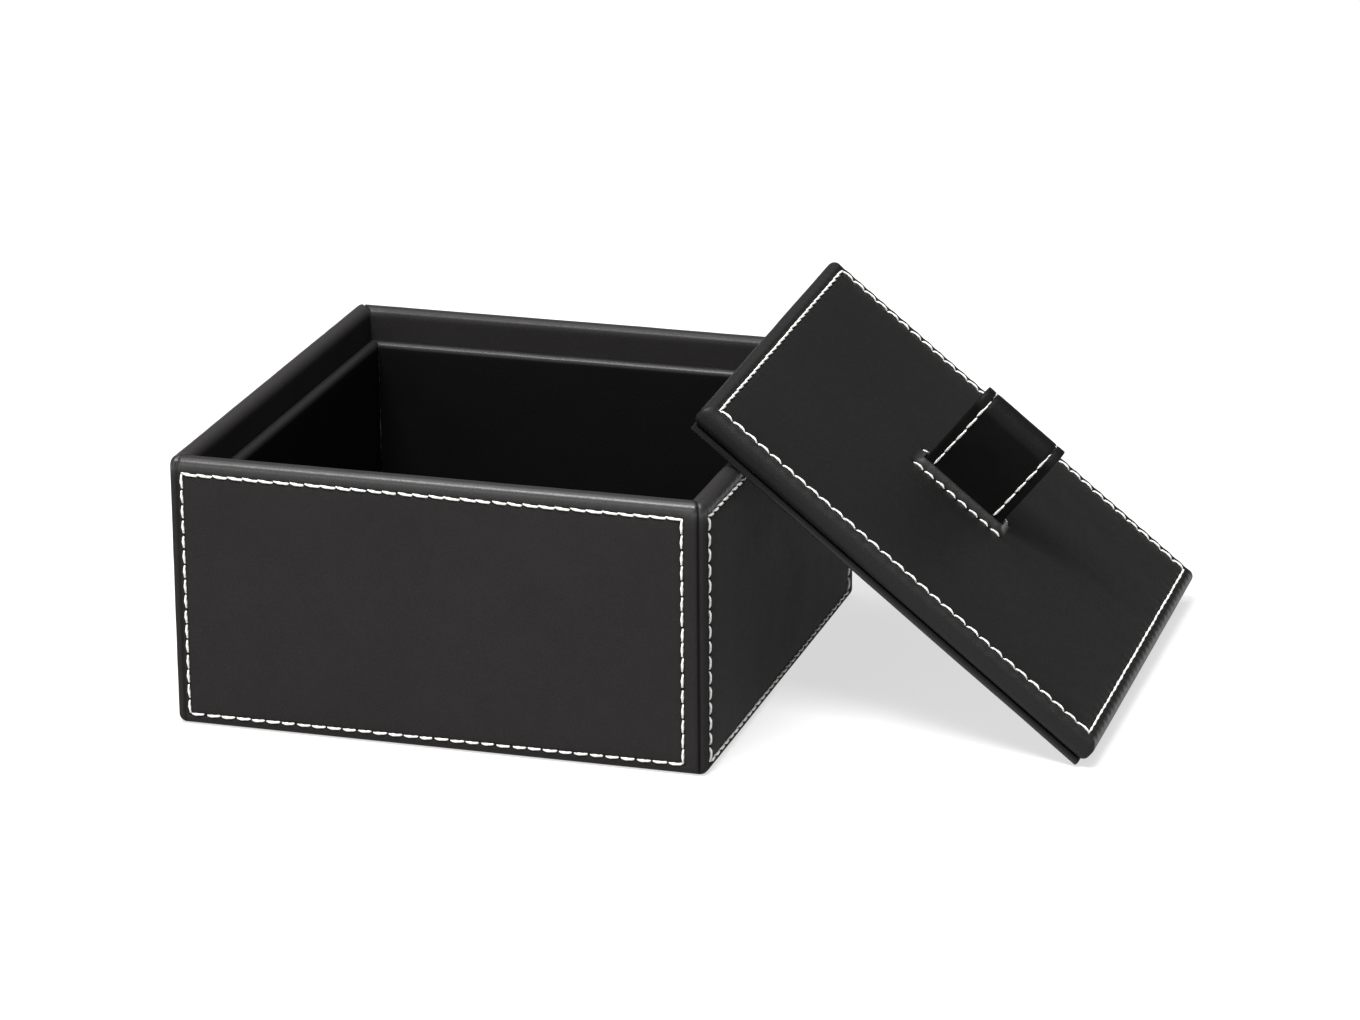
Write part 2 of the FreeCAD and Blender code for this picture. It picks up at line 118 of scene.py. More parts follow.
def placeCamera():
    yaw, pitch, roll = camera["yaw"], camera["pitch"], camera["roll"]
    ahead = np.array([-math.sin(yaw) * math.cos(pitch), math.cos(yaw) * math.cos(pitch), -math.sin(pitch)])
    right = np.array([math.cos(yaw), math.sin(yaw), 0.0])
    up = np.cross(right, ahead)
    right, up = (math.cos(roll) * right + math.sin(roll) * up, -math.sin(roll) * right + math.cos(roll) * up)
    sideways, upwards = camera["shift"]
    place = (np.array(camera["target"]) - sideways * right - upwards * up - camera["distance"] * ahead) * mm
    data = bpy.data.cameras.new("studioCamera")
    data.sensor_fit = "HORIZONTAL"
    data.sensor_width = camera["sensor"]
    data.lens = camera["lens"]
    data.clip_start = camera["near"]
    data.clip_end = camera["far"]
    made = bpy.data.objects.new("studioCamera", data)
    made.matrix_world = Matrix(
        [[right[i], up[i], -ahead[i], place[i]] for i in range(3)] + [[0.0, 0.0, 0.0, 1.0]]
    )
    bpy.context.scene.collection.objects.link(made)
    bpy.context.scene.camera = made


placeCamera()
bpy.context.scene.view_settings.view_transform = "Standard"
print("camera placed")


# Node building: a wrapped socket lets node maths read as plain expressions

def mathsNode(operation, swapped=False):
    def combine(self, other):
        left, right = (other, self) if swapped else (self, other)
        return self.maker.node("ShaderNodeMath", {"operation": operation}, {0: left, 1: right})
    return combine


class Signal:
    def __init__(self, maker, socket):
        self.maker = maker
        self.socket = socket

    __add__, __radd__ = mathsNode("ADD"), mathsNode("ADD", True)
    __sub__, __rsub__ = mathsNode("SUBTRACT"), mathsNode("SUBTRACT", True)
    __mul__, __rmul__ = mathsNode("MULTIPLY"), mathsNode("MULTIPLY", True)
    __truediv__, __pow__ = mathsNode("DIVIDE"), mathsNode("POWER")


class NodeMaker:
    def __init__(self, tree):
        self.tree = tree

    def node(self, kind, settings=None, values=None, output=0):
        made = self.tree.nodes.new(kind)
        for key, value in (settings or {}).items():
            setattr(made, key, value)
        for key, value in (values or {}).items():
            self.feed(made.inputs[key], value)
        return Signal(self, made.outputs[output])

    def feed(self, socket, value):
        if isinstance(value, Signal):
            self.tree.links.new(value.socket, socket)
        elif socket.type == "RGBA":
            socket.default_value = (*value[:3], 1.0)
        else:
            socket.default_value = value


class Finish(NodeMaker):
    def __init__(self, name):
        self.material = bpy.data.materials.new(name)
        self.material.use_nodes = True
        super().__init__(self.material.node_tree)
        self.tree.nodes.clear()
        output = self.tree.nodes.new("ShaderNodeOutputMaterial")
        self.shader = self.tree.nodes.new("ShaderNodeBsdfPrincipled")
        self.tree.links.new(self.shader.outputs[0], output.inputs["Surface"])
        self.place = self.node("ShaderNodeTexCoord", output="Object")

    def noise(self, scale, detail=2.0, roughness=0.5, output=0):
        return self.node("ShaderNodeTexNoise", output=output, values={
            "Vector": self.place, "Scale": scale, "Detail": detail, "Roughness": roughness})

    def cells(self, scale, feature="F1", place=None):
        return self.node("ShaderNodeTexVoronoi", {"feature": feature},
                         {"Vector": place or self.place, "Scale": scale}, "Distance")

    def attribute(self, name):
        return self.node("ShaderNodeAttribute", {"attribute_name": name}, output="Fac")

    def band(self, value, low, high):
        return self.node("ShaderNodeMapRange", {"interpolation_type": "SMOOTHSTEP"},
                         {"Value": value, "From Min": low, "From Max": high})

    def mixed(self, factor, first, second, blend="MIX"):
        return self.node("ShaderNodeMix", {"data_type": "RGBA", "blend_type": blend},
                         {0: factor, 6: first, 7: second}, 2)

    def moved(self, amount, scale):
        wobble = self.noise(scale, 1.0, output="Color")
        centred = self.node("ShaderNodeVectorMath", {"operation": "SUBTRACT"}, {0: wobble, 1: (0.5, 0.5, 0.5)})
        small = self.node("ShaderNodeVectorMath", {"operation": "SCALE"}, {0: centred, "Scale": amount})
        return self.node("ShaderNodeVectorMath", {"operation": "ADD"}, {0: self.place, 1: small})

    def bump(self, height, distance):
        return self.node("ShaderNodeBump", values={"Height": height, "Distance": distance, "Strength": 1.0})

    def surface(self, **values):
        for key, value in values.items():
            self.feed(self.shader.inputs[key.replace("_", " ")], value)
        return self.material


def grey(level, warmth=0.0):
    linear = (level / 255.0) ** 2.2
    return (linear * (1.0 + warmth), linear * (1.0 - 0.4 * warmth), linear * (1.0 - 0.5 * warmth))


leatherGrain = {
    "pebble": 2300.0,  # pebbles to the metre
    "fine": 6000.0,
    "patch": 160.0,
    "cloud": 28.0,
    "wander": (0.0005, 900.0),  # how far and how often the pebbles' outlines stray
    "pebbleEdge": (0.66, 0.06),
    "fineShare": 0.35,
    "wornHeight": (0.6, 1.2),  # grain height where unworn, and what wear adds
    "depth": 0.00006,
    # how much the painted crease shade darkens the colour
    "creaseShadeDepth": 0.6,
    "shade": {"plain": 0.88, "cloud": 0.24, "patch": 0.14, "valley": 0.22, "fine": 0.3},
    "rough": {"cloud": 0.16, "raised": 0.14, "fine": 0.1, "shine": 0.08, "creaseShade": 0.25},
    "coatRoughness": 0.34,
    "coatBend": 1.5,
    "bend": 1.48,
}


def leatherFinish(name, tone, warmth=0.01, rough=0.5, grain=1.0, wearAndHighlight=0.25, wearAndHighlightTone=1.9,
                  specular=0.09, glaze=1.0):
    finish = Finish(name)
    bent = finish.moved(*leatherGrain["wander"])
    raised = finish.band(finish.cells(leatherGrain["pebble"], place=bent), *leatherGrain["pebbleEdge"])
    fine = finish.noise(leatherGrain["fine"], 3.0, 0.6)
    cloud = finish.noise(leatherGrain["cloud"], 4.0, 0.6)
    patch = finish.noise(leatherGrain["patch"], 3.0, 0.55)
    creaseShade = finish.attribute("creaseShade")
    shine = finish.attribute("wearAndHighlight")
    plain, added = leatherGrain["wornHeight"]
    height = (raised + fine * leatherGrain["fineShare"]) * (plain + added * shine)
    by = leatherGrain["shade"]
    shade = by["plain"] + by["cloud"] * cloud + by["patch"] * patch - by["valley"] * (1.0 - raised)
    shade = shade + by["fine"] * (fine - 0.5)
    # Painted shade: the colour is darkened along the crease mask (stitch holes and grooves, seams, folds, the lid's
    # slot and the floor's edges).
    shade = shade * (1.0 - creaseShade * leatherGrain["creaseShadeDepth"])
    shades = finish.node("ShaderNodeCombineColor", values={0: shade, 1: shade, 2: shade})
    base = finish.mixed(1.0, grey(tone, warmth), shades, "MULTIPLY")
    # Painted highlight, partly rubbed wear: the colour is lifted towards a lighter grey where the wear mask is high.
    lifted = finish.mixed(shine * wearAndHighlight * (0.6 + 0.6 * fine), base, grey(tone * wearAndHighlightTone, warmth))
    by = leatherGrain["rough"]
    uneven = by["cloud"] * (cloud - 0.5) + by["raised"] * (0.5 - raised * 0.5) + by["fine"] * (fine - 0.5)
    return finish.surface(
        Base_Color=lifted, Roughness=rough + uneven - by["shine"] * shine + by["creaseShade"] * creaseShade,
        Normal=finish.bump(height, leatherGrain["depth"] * grain),
        Coat_Weight=shine * glaze * (0.5 + 0.3 * raised + 0.4 * fine),
        Coat_Roughness=leatherGrain["coatRoughness"], Coat_IOR=leatherGrain["coatBend"],
        Specular_IOR_Level=specular, IOR=leatherGrain["bend"])


def threadFinish():
    finish = Finish("threadFinish")
    fibre = finish.noise(6500.0, 3.0, 0.65)
    soil = finish.noise(240.0, 2.0)
    colour = finish.mixed(finish.band(soil, 0.35, 0.8), (0.86, 0.85, 0.82), (0.76, 0.745, 0.70))
    shaded = finish.mixed(0.22 * (1.0 - fibre), colour, (0.50, 0.48, 0.44))
    return finish.surface(Base_Color=shaded, Roughness=0.62 + 0.25 * fibre,
                          Normal=finish.bump(fibre, 0.00006), Sheen_Weight=0.25, Sheen_Roughness=0.5)


def boardFinish(name, colour, fleck):
    finish = Finish(name)
    pulp = finish.noise(900.0, 5.0, 0.7)
    layers = finish.noise(2600.0, 2.0, 0.5)
    tone = finish.mixed(finish.band(pulp, 0.3, 0.75), colour, fleck)
    return finish.surface(Base_Color=tone, Roughness=0.86 + 0.1 * layers,
                          Normal=finish.bump(pulp + layers, 0.00008))


def foamFinish():
    finish = Finish("foamFinish")
    pores = finish.band(finish.cells(1700.0, "DISTANCE_TO_EDGE"), 0.02, 0.2)
    colour = finish.mixed(pores, (0.05, 0.05, 0.052), (0.13, 0.13, 0.135))
    return finish.surface(Base_Color=colour, Roughness=0.95 - 0.1 * pores, Normal=finish.bump(pores, 0.0002))


def underSheetFinish():
    finish = Finish("baseSheetFinish")
    nap = finish.noise(3800.0, 3.0, 0.7)
    cloud = finish.noise(40.0, 3.0, 0.6)
    colour = finish.mixed(cloud, grey(34), grey(46))
    fuzz = finish.mixed(finish.band(nap, 0.45, 0.75), colour, grey(66))
    return finish.surface(Base_Color=fuzz, Roughness=0.93 - 0.08 * nap, Normal=finish.bump(nap, 0.00012),
                          Sheen_Weight=0.3, Sheen_Roughness=0.4)


# Each leather's worn strength sets how far its colour is lifted there: partly wear, partly a painted highlight.
finishes = {
    "wall": leatherFinish("wallLeatherette", 42, 0.05, rough=0.62, wearAndHighlight=0.08, specular=0.05),
    "liner": leatherFinish("linerLeatherette", 19, rough=0.58, wearAndHighlight=0.5, wearAndHighlightTone=2.5),
    "lid": leatherFinish("lidLeatherette", 30, rough=0.46, wearAndHighlight=0.4, wearAndHighlightTone=2.0, specular=0.17),
    "lidUnder": leatherFinish("lidUndersideLeatherette", 30, rough=0.55, grain=0.8),
    "strap": leatherFinish("strapLeather", 11, wearAndHighlight=0.4, grain=0.7, specular=0.18, glaze=0.12),
    "strapLining": leatherFinish("strapLining", 15, rough=0.6, grain=0.8, glaze=0.3),
    "thread": threadFinish(),
    "foam": foamFinish(),
    "greyboard": boardFinish("greyboardFinish", (0.23, 0.22, 0.20), (0.34, 0.33, 0.31)),
    "card": boardFinish("fillerCardFinish", (0.42, 0.38, 0.30), (0.55, 0.50, 0.42)),
    "baseSheet": underSheetFinish(),
}
print("finishes made")


# Floor and lights

studio = {
    "floorSize": 9000.0,
    "floorLevel": -0.1,  # clear of the box's underside
    "aim": (20.0, 0.0, 40.0),
    "floorTone": (0.36, 0.36, 0.362),
    "floorGlow": 0.66,
    "world": 0.15,
    "over": {"place": (-150.0, -900.0, 2000.0), "size": (1200.0, 600.0), "power": 70.0},
    "top": {"place": (0.0, 100.0, 2200.0), "size": (2000.0, 2000.0), "power": 34.0},
    "front": {"place": (-900.0, -2200.0, 900.0), "size": (1600.0, 1200.0), "power": 18.0},
}


def areaLight(name, place, size, power):
    data = bpy.data.lights.new(name, "AREA")
    data.shape = "RECTANGLE"
    data.size, data.size_y = size[0] * mm, size[1] * mm
    data.energy = power
    made = bpy.data.objects.new(name, data)
    made.location = Vector(place) * mm
    toward = Vector(studio["aim"]) - Vector(place)
    made.rotation_euler = toward.to_track_quat("-Z", "Y").to_euler()
    bpy.context.scene.collection.objects.link(made)


def buildStudio():
    half = studio["floorSize"] * mm / 2
    mesh = bpy.data.meshes.new("studioFloor")
    level = studio["floorLevel"] * mm
    mesh.from_pydata([(-half, -half, level), (half, -half, level), (half, half, level), (-half, half, level)],
                     [], [(0, 1, 2, 3)])
    floor = bpy.data.objects.new("studioFloor", mesh)
    bpy.context.scene.collection.objects.link(floor)
    finish = Finish("studioFloorFinish")
    faint = finish.noise(3.0, 2.0)
    tone = studio["floorTone"]
    colour = finish.mixed(faint, tone, tuple(0.985 * t for t in tone))
    mesh.materials.append(finish.surface(
        Base_Color=colour, Roughness=0.85, Specular_IOR_Level=0.1,
        Emission_Color=(1.0, 1.0, 1.0), Emission_Strength=studio["floorGlow"]))
    world = bpy.data.worlds.new("studioWorld")
    world.use_nodes = True
    world.node_tree.nodes["Background"].inputs["Color"].default_value = (1.0, 1.0, 1.0, 1.0)
    world.node_tree.nodes["Background"].inputs["Strength"].default_value = studio["world"]
    bpy.context.scene.world = world
    for name in ("over", "top", "front"):
        areaLight(name + "Softbox", **studio[name])


buildStudio()
print("studio made")


# Meshes from grids

latticePrimes = (73856093, 19349663, 83492791)
scramblers = (2654435761, 2246822519, 3266489917)


def softNoise(points, cell, seed):
    scaled = np.asarray(points, float) / cell
    base = np.floor(scaled).astype(np.int64)
    part = scaled - base
    part = part * part * (3 - 2 * part)
    total = np.zeros(scaled.shape[:-1])
    for corner in itertools.product((0, 1), repeat=3):
        lattice = base + np.array(corner)
        mixed = np.bitwise_xor.reduce([lattice[..., axis] * latticePrimes[axis] for axis in range(3)])
        mixed = (mixed ^ (seed * scramblers[0])) & 0xFFFFFFFF
        mixed = ((mixed ^ (mixed >> 15)) * scramblers[1]) & 0xFFFFFFFF
        mixed = ((mixed ^ (mixed >> 13)) * scramblers[2]) & 0xFFFFFFFF
        value = ((mixed ^ (mixed >> 16)) & 0xFFFF) / 32767.5 - 1.0
        weight = np.ones_like(total)
        for axis in range(3):
            weight = weight * (part[..., axis] if corner[axis] else 1.0 - part[..., axis])
        total += weight * value
    return total


def layered(points, seed, layers):
    return sum(share * softNoise(points, cell, seed + k) for k, (cell, share) in enumerate(layers))


def spacedLines(start, stop, step, fineStep=None, near=(), reach=0.0):
    lines = [start]
    while lines[-1] < stop - 1e-6:
        here = lines[-1]
        close = fineStep is not None and any(abs(here - n) < reach for n in near)
        lines.append(here + (fineStep if close else step))
    scale = (stop - start) / (lines[-1] - start)
    return start + (np.array(lines) - start) * scale


def linkMesh(name, vertices, faces, material, attributes):
    mesh = bpy.data.meshes.new(name)
    mesh.from_pydata((np.asarray(vertices) * mm).tolist(), [], faces)
    for key, values in attributes.items():
        made = mesh.attributes.new(key, "FLOAT", "POINT")
        made.data.foreach_set("value", np.asarray(values, np.float32))
    mesh.materials.append(material)
    mesh.validate()
    mesh.polygons.foreach_set("use_smooth", [True] * len(mesh.polygons))
    mesh.update()
    piece = bpy.data.objects.new(name, mesh)
    bpy.context.scene.collection.objects.link(piece)
    return piece


def turnOutward(vertices, faces):
    volume = 0.0
    for face in faces:
        a = vertices[face[0]]
        for k in range(1, len(face) - 1):
            volume += float(np.dot(a, np.cross(vertices[face[k]], vertices[face[k + 1]])))
    return faces if volume > 0 else [tuple(reversed(f)) for f in faces]


def gridFaces(at):
    return np.stack([at[:-1, :-1], at[1:, :-1], at[1:, 1:], at[:-1, 1:]], -1).reshape(-1, 4).tolist()


def shellFromGrid(name, outer, inward, thickness, rows, columns, material, attributes):
    rowCount, columnCount = outer.shape[:2]
    inner = outer[np.ix_(rows, columns)] + inward[np.ix_(rows, columns)] * thickness
    vertices = np.concatenate([outer.reshape(-1, 3), inner.reshape(-1, 3)])
    at = np.arange(rowCount * columnCount).reshape(rowCount, columnCount)
    under = (rowCount * columnCount + np.arange(len(rows) * len(columns))).reshape(len(rows), len(columns))
    faces = gridFaces(at)
    faces += np.stack([under[:-1, :-1], under[:-1, 1:], under[1:, 1:], under[1:, :-1]], -1).reshape(-1, 4).tolist()
    for k, (a, b) in enumerate(zip(columns[:-1], columns[1:])):
        faces.append([*at[0, a:b + 1], under[0, k + 1], under[0, k]])
        faces.append([*at[-1, a:b + 1][::-1], under[-1, k], under[-1, k + 1]])
    for k, (a, b) in enumerate(zip(rows[:-1], rows[1:])):
        faces.append([*at[a:b + 1, 0][::-1], under[k, 0], under[k + 1, 0]])
        faces.append([*at[a:b + 1, -1], under[k + 1, -1], under[k, -1]])
    faces = turnOutward(vertices, [[int(i) for i in f] for f in faces])
    spread = {}
    for key, values in attributes.items():
        flat = np.broadcast_to(values, (rowCount, columnCount))
        spread[key] = np.concatenate([flat.reshape(-1), flat[np.ix_(rows, columns)].reshape(-1)])
    return cleaned(linkMesh(name, vertices, faces, material, spread))


def cleaned(piece):
    work = bmesh.new()
    work.from_mesh(piece.data)
    bmesh.ops.remove_doubles(work, verts=work.verts, dist=4e-6)
    bmesh.ops.dissolve_degenerate(work, edges=work.edges, dist=2e-6)
    work.to_mesh(piece.data)
    work.free()
    piece.data.validate()
    return piece


def someOf(count, step):
    return np.array([*range(0, count - 1, step), count - 1])


def unit(vectors):
    return vectors / np.maximum(np.linalg.norm(vectors, axis=-1, keepdims=True), 1e-12)


# Swelling: a sheet held along its seams and blown up by the foam behind it

swelling = {
    "cell": 4.0,
    "pressure": 4.0,
    "mass": 0.2,
    "stretch": 8.0,
    "shear": 3.0,
    "bend": 0.3,
    "steps": 20,
    "quality": 6,
}


def swollenSheet(name, halfLong, halfWide, slotLong=0.0, slotWide=0.0):
    countU = int(round(2 * halfLong / swelling["cell"])) + 1
    countV = int(round(2 * halfWide / swelling["cell"])) + 1
    uLines = np.linspace(-halfLong, halfLong, countU)
    vLines = np.linspace(-halfWide, halfWide, countV)
    u, v = np.meshgrid(uLines, vLines, indexing="ij")
    at = np.arange(countU * countV).reshape(countU, countV)
    mesh = bpy.data.meshes.new(name)
    mesh.from_pydata((np.stack([u, v, 0 * u], -1).reshape(-1, 3) * mm).tolist(), [], gridFaces(at))
    sheet = bpy.data.objects.new(name, mesh)
    bpy.context.scene.collection.objects.link(sheet)
    edge = (np.abs(u) > halfLong - 0.01) | (np.abs(v) > halfWide - 0.01)
    slot = (np.abs(u) < slotLong) & (np.abs(v) < slotWide)
    sheet.vertex_groups.new(name="sewnDown").add(at[edge | slot].tolist(), 1.0, "REPLACE")
    cloth = sheet.modifiers.new("swelling", "CLOTH")
    cloth.settings.quality = swelling["quality"]
    cloth.settings.mass = swelling["mass"]
    cloth.settings.tension_stiffness = swelling["stretch"]
    cloth.settings.compression_stiffness = swelling["stretch"]
    cloth.settings.shear_stiffness = swelling["shear"]
    cloth.settings.bending_stiffness = swelling["bend"]
    cloth.settings.vertex_group_mass = "sewnDown"
    cloth.settings.use_pressure = True
    cloth.settings.uniform_pressure_force = swelling["pressure"]
    cloth.settings.effector_weights.gravity = 0.0
    cloth.point_cache.frame_end = swelling["steps"]
    for step in range(1, swelling["steps"] + 1):
        bpy.context.scene.frame_set(step)
    shaped = sheet.evaluated_get(bpy.context.evaluated_depsgraph_get()).data
    places = np.empty(countU * countV * 3, np.float32)
    shaped.vertices.foreach_get("co", places)
    rise = places.reshape(countU, countV, 3)[..., 2] / mm
    bpy.data.objects.remove(sheet)
    bpy.context.scene.frame_set(1)
    return uLines, vLines, rise.astype(float)


def curveWeights(t):
    return np.stack([-0.5 * t + t ** 2 - 0.5 * t ** 3, 1 - 2.5 * t ** 2 + 1.5 * t ** 3,
                     0.5 * t + 2 * t ** 2 - 1.5 * t ** 3, -0.5 * t ** 2 + 0.5 * t ** 3], -1)


def riseAt(sheet, u, v):
    uLines, vLines, rise = sheet
    around = np.pad(rise, 1, mode="reflect", reflect_type="odd")
    u, v = np.broadcast_arrays(u, v)
    a = np.clip((u - uLines[0]) / (uLines[1] - uLines[0]), 0, len(uLines) - 1.0001)
    b = np.clip((v - vLines[0]) / (vLines[1] - vLines[0]), 0, len(vLines) - 1.0001)
    i, j = a.astype(int), b.astype(int)
    alongU, alongV = curveWeights(a - i), curveWeights(b - j)
    total = np.zeros(u.shape)
    for m, n in itertools.product(range(4), repeat=2):
        total += alongU[..., m] * alongV[..., n] * around[i + m, j + n]
    return total


# Stitching: how a row of holes shapes the leather round it

seam = {
    "groove": 0.2,
    "grooveWidth": 0.85,
    "hole": 0.2,
    "holeWidth": 0.5,
    "pucker": 0.05,
    "puckerAway": 1.3,
    "puckerReach": 1.4,
    # painted shade: how much the colour is darkened in the stitch grooves and holes
    "grooveShade": 0.3,
    "holeShade": 0.75,
}


def bell(value, width):
    return np.exp(-(value / width) ** 2)


def ramp(value, width):
    return np.clip(value / width, 0, 1)


def eased(value, width):
    part = ramp(value, width)
    return part * part * (3 - 2 * part)


def seamShape(across, down, rows):
    height = np.zeros(np.broadcast(across, down).shape)
    creaseShade = np.zeros_like(height)
    for (x0, y0), (x1, y1), count in rows:
        length = math.hypot(x1 - x0, y1 - y0)
        ux, uy = (x1 - x0) / length, (y1 - y0) / length
        s = (across - x0) * ux + (down - y0) * uy
        c = -(across - x0) * uy + (down - y0) * ux
        over = np.maximum(0.0, np.maximum(-s, s - length))
        pitch = length / count
        nearest = np.clip(np.round(s / pitch), 0, count) * pitch
        hole = bell(np.hypot(s - nearest, c), seam["holeWidth"])
        groove = bell(np.hypot(c, over), seam["grooveWidth"])
        wave = -np.cos(2 * math.pi * s / pitch) * bell(np.abs(c) - seam["puckerAway"], seam["puckerReach"])
        height += -seam["groove"] * groove - seam["hole"] * hole + seam["pucker"] * wave * (over <= 0)
        # painted shade in the grooves and holes
        creaseShade = np.maximum(creaseShade, seam["grooveShade"] * groove + seam["holeShade"] * hole)
    return height, np.clip(creaseShade, 0.0, 1.0)


stitch = {
    "thickness": 0.88,
    "lift": 0.2,
    "sink": 0.62,
    "twist": 1.1,
    "steps": 8,
    "sides": 8,
    "lean": 1.12,  # moves the top of the arch along the stitch
    "arch": 0.55,
    "tip": 0.5,  # thickness at the ends
    "taper": 0.6,
    "oval": (1.1, 0.84),
    "spread": (0.93, 1.05),
    "stray": 0.05,
    "strayLength": 0.02,
}


class StitchRun:
    def __init__(self):
        self.middles, self.alongs, self.outwards, self.spans = [], [], [], []

    def add(self, start, stop, outward, reach):
        self.middles.append((start + stop) / 2)
        self.alongs.append(unit(stop - start))
        self.outwards.append(outward)
        self.spans.append(np.linalg.norm(stop - start) * reach)

    def row(self, start, stop, count, outward, slant, reach, seed):
        chance = np.random.default_rng(seed)
        start, stop, outward = (np.asarray(v, float) for v in (start, stop, outward))
        step = (stop - start) / count
        sideways = np.cross(outward, unit(step))
        for k in range(count):
            wobble = chance.normal(0.0, stitch["stray"], 4)
            a = start + step * (k + wobble[0] * 0.5) + sideways * (slant + wobble[1])
            b = start + step * (k + 1 + wobble[2] * 0.5) - sideways * (slant + wobble[3])
            self.add(a, b, outward, reach * (1 + chance.normal(0, stitch["strayLength"])))

    def join(self, other, place, turn):
        self.middles += [place(p) for p in other.middles]
        self.alongs += [turn(p) for p in other.alongs]
        self.outwards += [turn(p) for p in other.outwards]
        self.spans += other.spans
        return self


def stitchTree():
    tree = bpy.data.node_groups.new("stitchRun", "GeometryNodeTree")
    for label, kind in (("Points", "Geometry"), ("Length", "Float"), ("Thickness", "Float"), ("Lift", "Float"),
                        ("Sink", "Float"), ("Twist", "Float"), ("Seed", "Int"), ("Thread", "Material")):
        tree.interface.new_socket(label, in_out="INPUT", socket_type="NodeSocket" + kind)
    tree.interface.new_socket("Stitches", in_out="OUTPUT", socket_type="NodeSocketGeometry")
    maker = NodeMaker(tree)
    given = {socket.name: Signal(maker, socket) for socket in tree.nodes.new("NodeGroupInput").outputs}

    def put(kind, output=0, **values):
        return maker.node(kind, None, {key.replace("_", " "): value for key, value in values.items()}, output)

    def maths(operation, signal):
        return maker.node("ShaderNodeMath", {"operation": operation}, {0: signal, 1: 0.0})

    def facing(axis, label, **known):
        vector = maker.node("GeometryNodeInputNamedAttribute", {"data_type": "FLOAT_VECTOR"}, {"Name": label})
        settings = {"axis": axis, "pivot_axis": "X"} if known else {"axis": axis}
        return maker.node("FunctionNodeAlignRotationToVector", settings, {**known, "Vector": vector})

    half = given["Length"] * 0.5
    line = put("GeometryNodeCurvePrimitiveLine", Start=put("ShaderNodeCombineXYZ", X=half * -1.0),
               End=put("ShaderNodeCombineXYZ", X=half))
    line = put("GeometryNodeResampleCurve", Curve=line, Count=stitch["steps"] + 1)
    part = put("GeometryNodeSplineParameter", "Factor")
    wave = maths("MAXIMUM", maths("SINE", part * math.pi))
    leaning = maths("MAXIMUM", maths("SINE", part ** stitch["lean"] * math.pi))
    rise = leaning ** stitch["arch"] * (given["Lift"] + given["Sink"]) - given["Sink"]
    line = put("GeometryNodeSetPosition", Geometry=line, Offset=put("ShaderNodeCombineXYZ", Z=rise))
    radius = wave ** stitch["taper"] * (1.0 - stitch["tip"]) + stitch["tip"]
    line = put("GeometryNodeSetCurveRadius", Curve=line, Radius=radius)
    line = put("GeometryNodeSetCurveTilt", Curve=line, Tilt=part * (2 * math.pi) * given["Twist"])
    ring = put("GeometryNodeCurvePrimitiveCircle", Resolution=stitch["sides"], Radius=0.5)
    wide, flat = (given["Thickness"] * share for share in stitch["oval"])
    ring = put("GeometryNodeTransform", Geometry=ring, Scale=put("ShaderNodeCombineXYZ", X=wide, Y=flat, Z=1.0))
    body = put("GeometryNodeCurveToMesh", Curve=line, Profile_Curve=ring, Fill_Caps=True, Scale=radius)
    turn = facing("Z", "outward", Rotation=facing("X", "along"))
    least, most = stitch["spread"]
    width = mm * maker.node("FunctionNodeRandomValue", {"data_type": "FLOAT"},
                            {2: least, 3: most, "Seed": given["Seed"]}, 1)
    span = maker.node("GeometryNodeInputNamedAttribute", {"data_type": "FLOAT"}, {"Name": "span"})
    size = put("ShaderNodeCombineXYZ", X=span / given["Length"], Y=width, Z=width)
    placed = put("GeometryNodeInstanceOnPoints", Points=given["Points"], Instance=body, Rotation=turn, Scale=size)
    real = put("GeometryNodeRealizeInstances", Geometry=placed)
    soft = put("GeometryNodeSetShadeSmooth", Geometry=real)
    done = put("GeometryNodeSetMaterial", Geometry=soft, Material=given["Thread"])
    tree.links.new(done.socket, tree.nodes.new("NodeGroupOutput").inputs[0])
    return tree


stitchNodes = stitchTree()


def sewn(name, run, seed, **changes):
    mesh = bpy.data.meshes.new(name + "Points")
    mesh.from_pydata((np.array(run.middles) * mm).tolist(), [], [])
    for label, values in (("along", run.alongs), ("outward", run.outwards)):
        made = mesh.attributes.new(label, "FLOAT_VECTOR", "POINT")
        made.data.foreach_set("vector", np.array(values, np.float32).reshape(-1))
    made = mesh.attributes.new("span", "FLOAT", "POINT")
    made.data.foreach_set("value", np.array(run.spans, np.float32) * mm)
    holder = bpy.data.objects.new(name + "Points", mesh)
    bpy.context.scene.collection.objects.link(holder)
    modifier = holder.modifiers.new("stitches", "NODES")
    modifier.node_group = stitchNodes
    wanted = {label.capitalize(): value for label, value in {**stitch, **changes}.items()}
    wanted.update({"Length": float(np.mean(run.spans)), "Seed": seed, "Thread": finishes["thread"]})
    for socket in stitchNodes.interface.items_tree:
        if socket.in_out == "INPUT" and socket.name in wanted:
            modifier[socket.identifier] = wanted[socket.name]
    result = bpy.data.meshes.new_from_object(holder.evaluated_get(bpy.context.evaluated_depsgraph_get()))
    holder.modifiers.clear()
    bpy.data.objects.remove(holder)
    result.name = name
    piece = bpy.data.objects.new(name, result)
    bpy.context.scene.collection.objects.link(piece)
    return piece


def fitPadded(piece, body, node):
    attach(piece, body)
    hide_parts(node)


# Walls: four padded covers, each wrapped round its left corner

